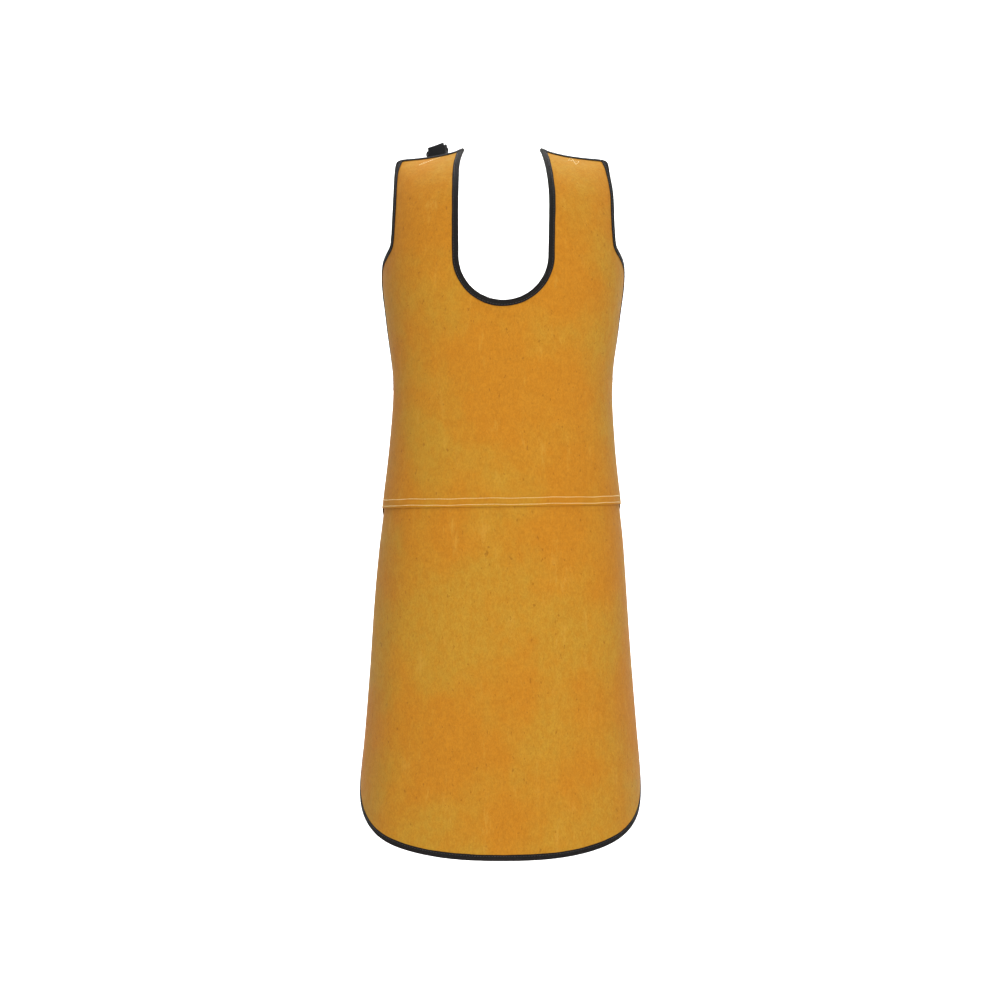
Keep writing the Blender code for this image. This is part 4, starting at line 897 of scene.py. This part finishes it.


# Short rounded stitches along a line: each is a thin drum that swells in the middle and dips at
# both ends, its ring sizes listed.
def stitchRow(name, points, normals, kind, body, slotName, *nodes, radius=None):
    radius = radius or stitch["radius"]
    along = lengthAlong(points)
    count = max(2, int(along[-1] / kind["pitch"]))
    at = (np.arange(count) + 0.5) * along[-1] / count
    read = lambda table: np.stack([np.interp(at, along, table[:, k]) for k in range(3)], 1)
    centre, out = read(points), unit(read(normals))
    way = unit(np.stack([np.interp(at, along, np.gradient(points[:, k], along)) for k in range(3)],
                        1))
    across = unit(np.cross(way, out))
    lean = draws.normal(0, 0.06, count)[:, None]
    way = unit(way + across * lean)
    across = unit(np.cross(way, out))
    length = kind["length"] * (1 + draws.normal(0, 0.05, count))
    t = np.array([-1, -0.82, -0.35, 0.35, 0.82, 1])
    swell = np.array([0.30, 0.78, 1.0, 1.0, 0.78, 0.30])
    dip = -0.9 * radius * np.abs(t) ** 3
    a = np.arange(stitch["sides"]) * 2 * math.pi / stitch["sides"]
    ring = np.stack([np.cos(a), np.sin(a)], 1)
    rise = dip[:, None] + radius * swell[:, None] * ring[:, 1]
    side = radius * swell[:, None] * ring[:, 0]
    points3 = (centre[:, None, None] + way[:, None,
                                           None] * (length[:, None, None, None] / 2 * t[:, None,
                                                                                        None])
               + across[:, None, None] * side[None, ..., None] + out[:, None, None] * rise[None,
                                                                                           ...,
                                                                                           None])
    rings, sides = len(t), stitch["sides"]
    oneSide = gridFaces(rings, sides, True)
    faces = [list(face + k * rings * sides) for k in range(count) for face in oneSide]
    for k in range(count):
        base = k * rings * sides
        faces.append(list(range(base + sides - 1, base - 1, -1)))
        faces.append(list(range(base + (rings - 1) * sides, base + rings * sides)))
    piece = makePiece(name, points3, faces, threadFinish if slotName == "thread" else blackThread)
    pointOutwards(piece)
    settle(piece, body, slotName, *nodes)
    return piece


# Stitches that follow a line on the flat leather.
def leatherStitches(name, flat, lift, kind, *nodes, **more):
    points = onLeather(flat[:, 0], flat[:, 1], lift)
    return stitchRow(name, points, leatherNormal(flat[:, 0], flat[:, 1]), kind, "apron", "thread",
                     *nodes, **more)


waistRows = {"inset": 3 * mm, "spacing": 9 * mm}


def makeWaistRows():
    rows = []
    for name, node, inset in (("lower_seam_stitches", "waist_thread_lower", waistRows["inset"]),
                              ("upper_seam_stitches", "waist_thread_upper",
                               waistRows["inset"] + waistRows["spacing"])):
        v = leather["seamDepth"] - inset
        reach = float(halfWidth(v)) - tape["width"] - 1 * mm
        s = np.linspace(-reach, reach, 400)
        flat = np.stack([s, v + 0.35 * mm * np.sin(s * 60) + 0.2 * mm * np.sin(s * 151)], 1)
        rows.append(leatherStitches(name, flat, leather["thickness"] / 2 + 0.12 * mm,
                                    stitch["waist"], node, radius=0.5 * mm))
    return rows


def makeTapeStitches():
    onTape = tape["gap"] + tape["thickness"] - tape["pinch"] + 0.12 * mm
    rows = []
    for name, node, path, inside in (("neck_tape_stitches", "neck_thread", neckLine,
                                      (0, leather["seamDepth"])),
                                     ("edge_tape_stitches", "edge_thread", edgeLine, (0, 0))):
        flat = (path + inwardOf(path, inside) * tape["stitchInset"])[2:-2]
        points = onLeather(flat[:, 0], flat[:, 1], outerSkin(flat[:, 1]) + onTape)
        rows.append(stitchRow(name, points, leatherNormal(flat[:, 0], flat[:, 1]), stitch["tape"],
                              "apron",
                              "binding_thread", node, radius=0.3 * mm))
    return rows


seamRows = makeWaistRows()
tapeRows = makeTapeStitches()
print("stitches made")

# webbing

webbing = {
    "width": 25 * mm, "thickness": 1.5 * mm, "gap": 0.4 * mm, "step": 1.2 * mm, "flatPoints": 8,
    "edgePoints": 5, "selvedge": 0.10, "wander": 0.006,
}
layer = webbing["thickness"] + webbing["gap"]
harness = {
    "sink": 4.35 * mm,  # from the leather's middle to the middle of the webbing under it
    "crest": 98 * mm, "slant": 18.0, "bend": 66 * mm, "low": 126 * mm, "sewn": 34 * mm,
    "beltDepth": 405 * mm, "beltUnder": 32 * mm, "beltFrontDepth": 391 * mm,
    "bandDepth": 298 * mm, "bandOverhang": 5 * mm, "bandLift": 2.6 * mm,
    "loopRise": 30 * mm, "loopOutside": 4.6 * mm, "loopInside": 3.2 * mm, "loopSlack": 2 * mm,
    "loopBulge": 2.5 * mm, "loopReturn": 22 * mm, "tail": 110 * mm, "beltReturn": 24 * mm,
    "tabSpread": 0.9 * mm, "tabPast": 4 * mm, "tabTogether": 2,
    "firstAfterPlug": 92 * mm, "beltStart": 18 * mm, "plugRun": 20 * mm,
}
buckle = {
    "socket": 26 * mm, "socketTail": 7 * mm, "tailBar": 2.8 * mm, "bar": 4 * mm, "plate": 4.2 * mm,
    "plugFront": 3 * mm, "rim": 2.2 * mm, "frontSlot": 4.4 * mm, "ladderBar": 3 * mm,
    "plug": 21 * mm,
    "pivotBack": 1.6 * mm, "bevel": 0.32 * mm,
}


def sweepWebbing(name, points, across, *nodes, rounds=4):
    # Flat webbing with round edges: its profile carried along the line, square to it.
    along = lengthAlong(points)
    at = np.linspace(0, along[-1], max(10, int(along[-1] / webbing["step"])))
    both = np.hstack([points, across])
    both = roundOff(np.stack([np.interp(at, along, both[:, k]) for k in range(6)], 1), rounds)
    line, side = both[:, :3], both[:, 3:]
    way = unit(np.gradient(line, axis=0))
    side = unit(side - way * (side * way).sum(1, keepdims=True))
    out = np.cross(side, way)
    thick = webbing["thickness"] / 2
    half = webbing["width"] / 2 - thick
    flat = np.linspace(-half, half, webbing["flatPoints"])
    a = np.linspace(math.pi / 2, -math.pi / 2, webbing["edgePoints"] + 2)[1:-1]
    px = np.concatenate([flat, half + thick * np.cos(a), flat[::-1], -half - thick * np.cos(a)])
    pz = np.concatenate([np.full(len(flat), thick), thick * np.sin(a), np.full(len(flat), -thick),
                         -thick * np.sin(a)])
    pz = pz * (1 + webbing["selvedge"] * bump(np.abs(px) - half, 1.5 * mm))
    sway = 1 + webbing["wander"] * (np.sin(at * 71) + 0.7 * np.sin(at * 187 + 1))
    grid = line[:, None] + side[:, None] * (px[None] * sway[:, None])[..., None] + out[:,
                                                                                       None] * pz[None, :, None]
    rows, columns = grid.shape[:2]
    faces = gridFaces(rows, columns, True).tolist()
    faces += [list(range(columns)), list(range((rows - 1) * columns, rows * columns))]
    round_ = lengthAlong(np.stack([px, pz], 1))
    uv = np.stack(np.broadcast_arrays(at[:, None], round_[None, :]), -1)
    piece = makePiece(name, grid, faces, webbingFinish, gridUv(uv, True))
    pointOutwards(piece)
    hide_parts(*nodes)
    return piece


def acrossFrom(points, outwards):
    # Directions across a strap: along it crossed with the way out of the wearer.
    return unit(np.cross(unit(np.gradient(points, axis=0)), outwards))


def makeFrame(origin, along, outwards):
    y = unit(along)
    z = unit(outwards - y * np.dot(outwards, y))
    return {"origin": np.asarray(origin, float), "x": np.cross(y, z), "y": y, "z": z}


def inFrame(place, line):
    # Points given by (y, z) in the frame's own plane.
    line = np.asarray(line, float)
    return place["origin"] + line[:, :1] * place["y"] + line[:, 1:] * place["z"]


def buckleFrame(prefix):
    # A buckle's mouth, from its slide's axis and the pivots of its two prongs.
    joints = {joint["name"]: joint for joint in frame["joints"]}
    y = unit(joints[prefix + "_buckle_release"]["axis"])
    a, b = (np.array(joints[f"{prefix}_prong_{side}_squeeze"]["pos_m"]) for side in "ab")
    return makeFrame((a + b) / 2 + buckle["pivotBack"] * y, y, np.cross(a - b, y))


def fadeTo(first, last, count):
    # Directions turning from one to another, both ends left out.
    mix = np.linspace(0, 1, count)[1:-1, None]
    return unit(np.asarray(first) * (1 - mix) + np.asarray(last) * mix)


def strapPlan(count):
    # The right strap as (s, v): a quadratic curve from the crest through its bend to the belt.
    slant = math.radians(harness["slant"])
    start = np.array([-harness["crest"], 0])
    end = np.array([-harness["low"],
                    harness["beltDepth"] + webbing["width"] / 2 + harness["loopSlack"]])
    bend = start + harness["bend"] * np.array([math.sin(slant), math.cos(slant)])
    t = np.linspace(0, 1, 80)[:, None]
    return resample((1 - t) ** 2 * start + 2 * t * (1 - t) * bend + t * t * end, count)


def strapRise(v):
    top = harness["beltDepth"] - webbing["width"] / 2 - harness["loopRise"]
    return harness["loopOutside"] * ease((np.asarray(v) - top) / harness["loopRise"])


def beltLoop(plan):
    # Below the belt and back up inside it, behind the strap and closing on it.
    v = plan[-1, 1]
    turn = np.linspace(0, math.pi, 8)[1:]
    outside, inside = harness["loopOutside"], harness["loopInside"]
    beltTop = harness["beltDepth"] - webbing["width"] / 2
    up = np.linspace(v, beltTop - harness["loopReturn"], 10)[1:]
    closing = ease((beltTop - up) / harness["loopReturn"])
    within = -inside + closing * (strapRise(up) - layer - webbing["gap"] + inside)
    depth = np.concatenate([v + harness["loopBulge"] * np.sin(turn), up])
    lift = np.concatenate([(outside - inside) / 2 + (outside + inside) / 2 * np.cos(turn), within])
    return placeOn(back, np.interp(depth, plan[:, 1], plan[:, 0]), depth, lift - harness["sink"])


def sewnRun(count, sink, past=0.0):
    slant = math.radians(harness["slant"])
    length = np.linspace(harness["sewn"], -past, count)
    s, v = -harness["crest"] - length * math.sin(slant), length * math.cos(slant)
    return placeOn(front, s, v, -sink), skinNormal(front, s, v)


barReach = buckle["bar"] / 2 + webbing["gap"] + webbing["thickness"] / 2 + 0.2 * mm


def socketLoop():
    # Round the tail bar, from well before it above to just past it below.
    middle = -buckle["socket"] - buckle["socketTail"] + buckle["tailBar"] / 2
    near, bulge = middle + buckle["tailBar"] / 2, webbing["gap"] + webbing["thickness"] / 2 + 0.4 * mm
    turn = np.linspace(0, math.pi, 7)
    wrap = [(near + bulge * math.sin(a), barReach * math.cos(a)) for a in turn]
    return [(middle - buckle["tailBar"] - 2 * mm, barReach)] + wrap


def ladderPath():
    # Under both bars, over the middle one and out again.
    middle = buckle["plugFront"] + buckle["rim"] + buckle["frontSlot"] + buckle["ladderBar"] / 2
    reach = buckle["plate"] / 2 + webbing["gap"] + webbing["thickness"] / 2
    under, end = -(reach + layer), buckle["plug"] + 4 * mm
    half = buckle["ladderBar"] / 2 + webbing["gap"] + webbing["thickness"] / 2 + 0.8 * mm
    turn = np.linspace(math.pi, 0, 9)
    over = [(middle + half * math.cos(a),
             (reach + 0.3 * mm) * abs(math.sin(a)) ** 0.7) for a in turn]
    bar = buckle["ladderBar"] / 2
    path = [(end, under), (middle + bar, under), (middle - bar, under + 0.4 * mm),
            (middle - half, -reach + 0.6 * mm)]
    return path + over + [(middle + half + 0.5 * mm, -reach + 1.2 * mm),
                          (middle + half + 2 * mm, -reach), (end, -reach)]


def makeTab(place):
    # Sewn under the shoulder, up over the tail bar and back down beside itself.
    upper, outUpper = sewnRun(7, harness["sink"], harness["tabPast"])
    apart = layer + harness["tabSpread"]
    lower, _ = sewnRun(7, harness["sink"] + apart, harness["tabPast"])
    loop = inFrame(place, socketLoop())
    rise = hermite(upper[-1], upper[-1] - upper[-2], loop[0], place["y"], 8)[1:-1]
    sewn = acrossFrom(upper, outUpper)
    riseAcross = fadeTo(sewn[-1], place["x"], 8)
    outwards = unit(np.cross(unit(np.gradient(np.vstack([upper[-1:], rise]), axis=0))[1:],
                             riseAcross))
    outwards *= np.sign(outwards[0] @ outUpper[-1])
    n = harness["tabTogether"]
    beside = rise[:n] - outwards[:n] * apart
    fall = hermite(beside[-1], beside[-1] - beside[-2], loop[-1], place["y"], 4)[1:-1]
    points = np.vstack([upper, rise, loop, fall[::-1], beside[::-1], lower[::-1]])
    across = np.vstack([sewn, riseAcross, np.tile(place["x"], (len(loop), 1)),
                        fadeTo(riseAcross[n - 1], place["x"], 4)[::-1], riseAcross[:n][::-1],
                        sewn[::-1]])
    tab = sweepWebbing("right_shoulder_webbing", points, across, "right_shoulder_tab", rounds=3)
    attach(tab, "apron")
    return tab


def makePlugStrap(name, node, plan, lift, place, ending=None):
    # Surface run, ladder and the tail back over the run. Gives the piece and the run's frame.
    run = placeOn(back, plan[:, 0], plan[:, 1], lift)
    across = acrossFrom(run, skinNormal(back, plan[:, 0], plan[:, 1]))
    across = across * (1 if np.dot(across[0], place["x"]) > 0 else -1)
    ladder = inFrame(place, ladderPath())
    join = hermite(ladder[0], place["y"], run[0], run[1] - run[0], 8)[1:-1]
    main = np.vstack([join, run])
    mainAcross = np.vstack([fadeTo(place["x"], across[0], 8), across])
    out = unit(np.cross(mainAcross, unit(np.gradient(main, axis=0))))
    keep = lengthAlong(main) < harness["tail"]
    tail = main[keep] + out[keep] * layer
    far = main[:0] if ending is None else ending[::-1]
    points = np.vstack([far, main[::-1], ladder, tail])
    turned = np.vstack([np.tile(across[-1], (len(far), 1)), mainAcross[::-1],
                        np.tile(place["x"], (len(ladder), 1)), mainAcross[keep]])
    return sweepWebbing(name, points, turned, node, rounds=3), main, mainAcross, out


keeper = {"length": 9 * mm, "wall": 1.4 * mm, "clearance": 1.5 * mm, "fromBuckle": 34 * mm,
          "corner": 1.5 * mm}


def makeKeeper(prefix, main, out):
    # A flat loop round the strap and its tail: a rounded rectangle carried round a rounded slot.
    i = int(np.argmin(np.abs(lengthAlong(main) - keeper["fromBuckle"])))
    place = makeFrame(main[i] + out[i] * layer / 2, main[i + 1] - main[i - 1], out[i])
    wall = keeper["wall"] / 2
    halfX = webbing["width"] / 2 + keeper["clearance"] + wall
    halfZ = webbing["thickness"] + webbing["gap"] / 2 + keeper["clearance"] + wall
    r = keeper["corner"]
    ring = [(cx * (halfX - r) + r * math.cos(a), cz * (halfZ - r) + r * math.sin(a))
            for cx, cz, first in ((1, 1, 0), (-1, 1, 1), (-1, -1, 2), (1, -1, 3))
            for a in np.linspace(0, math.pi / 2, 7) + first * math.pi / 2]
    ring = resample(np.array(ring + ring[:1]), 90)
    normal = unit(np.gradient(ring, axis=0))[:, ::-1] * (1, -1)
    normal[0] = normal[-1] = unit(normal[0] + normal[-1])
    long, c = keeper["length"] / 2, 0.5 * mm
    profile = [(sy * (long - c) + c * math.cos(a), sn * (wall - c) + c * math.sin(a))
               for sy, sn, first in ((1, 1, 0), (-1, 1, 1), (-1, -1, 2), (1, -1, 3))
               for a in np.linspace(0, math.pi / 2, 3) + first * math.pi / 2]
    py, pn = np.array(profile).T
    x = ring[:, :1] + normal[:, :1] * pn
    z = ring[:, 1:] + normal[:, 1:] * pn
    y = np.broadcast_to(py, x.shape)
    points = place["origin"] + x[..., None] * place["x"] + y[..., None] * place["y"] + z[...,
                                                                                         None] * place["z"]
    uv = np.stack(np.broadcast_arrays(lengthAlong(ring)[:, None],
                                      lengthAlong(np.array(profile))[None]), -1)
    piece = makePiece(prefix + "_webbing_keeper", points, gridFaces(*x.shape, True), webbingFinish,
                      gridUv(uv, True))
    pointOutwards(piece)
    return settle(piece, prefix + "_keeper", "webbing", prefix + "_strap_keeper")


def makeLeftStrap():
    plan = strapPlan(40)
    sewn, sewnOut = sewnRun(6, harness["sink"])
    over = placeOn(back, plan[:, 0], plan[:, 1], strapRise(plan[:, 1]) - harness["sink"])
    points = np.vstack([sewn[:-1], over])
    outwards = np.vstack([sewnOut[:-1], skinNormal(back, plan[:, 0], plan[:, 1])])
    points[3:10] = roundOff(points[3:10], 3)
    across = acrossFrom(points, outwards)
    loop = beltLoop(plan)
    points = np.vstack([points, loop]) * (-1, 1, 1)
    across = np.vstack([across, np.tile(across[-1], (len(loop), 1))]) * (-1, 1, 1)
    strap = sweepWebbing("left_back_webbing", points, across, "left_back_strap", rounds=2)
    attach(strap, "apron")
    return strap


def makeBand():
    line = strapPlan(400)
    s, v = line[np.argmin(np.abs(line[:, 1] - harness["bandDepth"]))]
    reach = abs(s) + webbing["width"] / 2 + harness["bandOverhang"]
    s = np.linspace(-reach, reach, 60)
    points = placeOn(back, s, np.full_like(s, v), harness["bandLift"] - harness["sink"])
    band = sweepWebbing("back_band_webbing", points,
                        acrossFrom(points, skinNormal(back, s, np.full_like(s, v))), "back_band")
    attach(band, "apron")
    return band


def beltEnd():
    # Distance round the back from its middle to the leather's side, level with the belt.
    edge = onSkin(front, float(halfWidth(harness["beltFrontDepth"])), harness["beltFrontDepth"])
    s = np.arange(0, 0.41, 0.001)
    places = onSkin(back, s, np.full_like(s, harness["beltDepth"]))
    return float(s[np.argmin(np.hypot(places[:, 0] - edge[0],
                                      places[:, 1] - edge[1]))]) + harness["beltUnder"]


def beltPlan(count, start, side):
    s = side * np.linspace(start, beltEnd(), count)
    return np.stack([s, np.full(count, harness["beltDepth"])], 1)


def makeSocketBelt(place):
    plan = beltPlan(14, buckle["socket"] + buckle["socketTail"] + harness["beltStart"], -1)
    run = placeOn(back, plan[:, 0], plan[:, 1], -harness["sink"])
    across = acrossFrom(run, skinNormal(back, plan[:, 0], plan[:, 1]))
    across = across * (1 if np.dot(across[0], place["x"]) > 0 else -1)
    loop = inFrame(place, socketLoop())[::-1]
    join = hermite(run[0], run[0] - run[1], loop[0], place["y"], 6)[1:-1]
    main = np.vstack([run[::-1], join])
    mainAcross = np.vstack([across[::-1], np.tile(place["x"], (len(join), 1))])
    out = unit(np.cross(mainAcross, unit(np.gradient(main, axis=0))))
    keep = lengthAlong(main[::-1]) < harness["beltReturn"]
    returning = (main[::-1][keep] + out[::-1][keep] * (layer + 0.3 * mm))[1:]
    points = np.vstack([main, loop, returning])
    turned = np.vstack([mainAcross, np.tile(place["x"], (len(loop), 1)),
                        mainAcross[::-1][keep][1:]])
    belt = sweepWebbing("right_waist_webbing", points, turned, "right_waist_strap", rounds=3)
    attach(belt, "apron")
    return belt


shoulderPlace, waistPlace = buckleFrame("shoulder"), buckleFrame("waist")
makeTab(shoulderPlace)
makeLeftStrap()
makeBand()
makeSocketBelt(waistPlace)
plan = strapPlan(160)
first = int(harness["firstAfterPlug"] / np.linalg.norm(plan[1] - plan[0]))
plan = resample(plan[first:], 36)
rightStrap, main, across, out = makePlugStrap("right_back_webbing", "right_back_strap", plan,
                                              strapRise(plan[:, 1]) - harness["sink"],
                                              shoulderPlace,
                                              beltLoop(plan))
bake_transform(rightStrap)
makeKeeper("shoulder", main, out)
plan = beltPlan(14, buckle["plug"] + harness["plugRun"], 1)
leftBelt, main, across, out = makePlugStrap("left_waist_webbing", "left_waist_strap", plan,
                                            np.full(len(plan), -harness["sink"]), waistPlace)
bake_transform(leftBelt)
makeKeeper("waist", main, out)
print("webbing made")

# buckles


def remake(node, body):
    # The same solid with its doubled points merged, its flat faces joined and its edges rounded.
    mesh = frame["nodes"][node].data.copy()
    work = bmesh.new()
    work.from_mesh(mesh)
    bmesh.ops.remove_doubles(work, verts=work.verts, dist=0.00001)
    bmesh.ops.dissolve_limit(work, angle_limit=math.radians(2), verts=work.verts, edges=work.edges)
    bmesh.ops.recalc_face_normals(work, faces=work.faces)
    work.to_mesh(mesh)
    work.free()
    mesh.materials.clear()
    piece = bpy.data.objects.new(node.replace("_buckle_", "_clip_"), mesh)
    bpy.context.scene.collection.objects.link(piece)
    mesh.materials.append(plasticFinish)
    mesh.shade_smooth()
    mesh.set_sharp_from_angle(angle=math.radians(40))
    rounding = piece.modifiers.new("Rounding", "BEVEL")
    rounding.width = buckle["bevel"]
    rounding.segments = 2
    rounding.limit_method = "ANGLE"
    rounding.angle_limit = math.radians(40)
    rounding.harden_normals = True
    return settle(piece, body, "buckle", node)


for prefix in ("shoulder", "waist"):
    remake(prefix + "_buckle_socket", "apron")
    for part in ("plug", "prong_a", "prong_b"):
        remake(f"{prefix}_buckle_{part}", f"{prefix}_{part}")
print("buckles made")

# sewn boxes

box = {"shoulderAt": 0.64, "shoulderSide": 21 * mm, "shoulderLength": 31 * mm, "belt": 16 * mm,
       "inset": 19 * mm, "radius": 0.42 * mm}


# corners as shares of the half width, outwards or inwards, and of the half length, downwards
patterns = {
    "box": ((-1, -1), (1, -1), (1, 1), (-1, 1), (-1, -1), (1, 1), (-1, 0.96), (1, -1)),
    "slanting": ((-1, -1), (1, 1), (0.86, 0.72), (-0.3, -0.42)),
    "crossed": ((-0.1, -1), (0.25, 1), (-0.7, 0.1), (0.8, -0.1), (0.1, -0.9)),
}


def makeBox(name, surface, centre, along, width, length, lift, slotName, *nodes, pattern="box"):
    along = unit(along)
    across = np.array([-along[1], along[0]])
    line = resample(np.array(patterns[pattern]) / 2 * (width, length), 160)
    flat = np.asarray(centre) + line[:, :1] * across + line[:, 1:] * along
    points = surface(flat[:, 0], flat[:, 1], lift)
    skin = front if surface is onLeather else back
    return stitchRow(name, points, skinNormal(skin, flat[:, 0], flat[:, 1]), stitch["box"],
                     "apron", slotName,
                     *nodes, radius=box["radius"])


def onBack(s, v, lift):
    return placeOn(back, s, v, lift)


onHide = leather["thickness"] / 2 + 0.15 * mm
slant = math.radians(harness["slant"])
middle = harness["sewn"] * box["shoulderAt"]
bandAt = strapPlan(400)
bandS = abs(float(bandAt[np.argmin(np.abs(bandAt[:, 1] - harness["bandDepth"])), 0]))
beltFront = harness["beltFrontDepth"]
for side, wearerSide in ((-1, "right"), (1, "left")):
    centre = (side * (harness["crest"] + middle * math.sin(slant)), middle * math.cos(slant))
    makeBox(wearerSide + "_shoulder_stitches", onLeather, centre,
            (side * math.sin(slant), math.cos(slant)),
            box["shoulderSide"], box["shoulderLength"], onHide, "thread",
            wearerSide + "_shoulder_thread",
            pattern="slanting" if side < 0 else "crossed")
    centre = (side * (float(halfWidth(beltFront)) - box["inset"]), beltFront)
    makeBox(wearerSide + "_belt_stitches", onLeather, centre, (side, 0), box["belt"], box["belt"],
            onHide,
            "binding_thread", wearerSide + "_belt_thread")
    makeBox(wearerSide + "_band_stitches", onBack, (side * bandS, harness["bandDepth"]), (0, 1),
            box["belt"],
            box["belt"],
            harness["bandLift"] - harness["sink"] + webbing["thickness"] / 2 + 0.15 * mm,
            "binding_thread")
print("sewn boxes made")
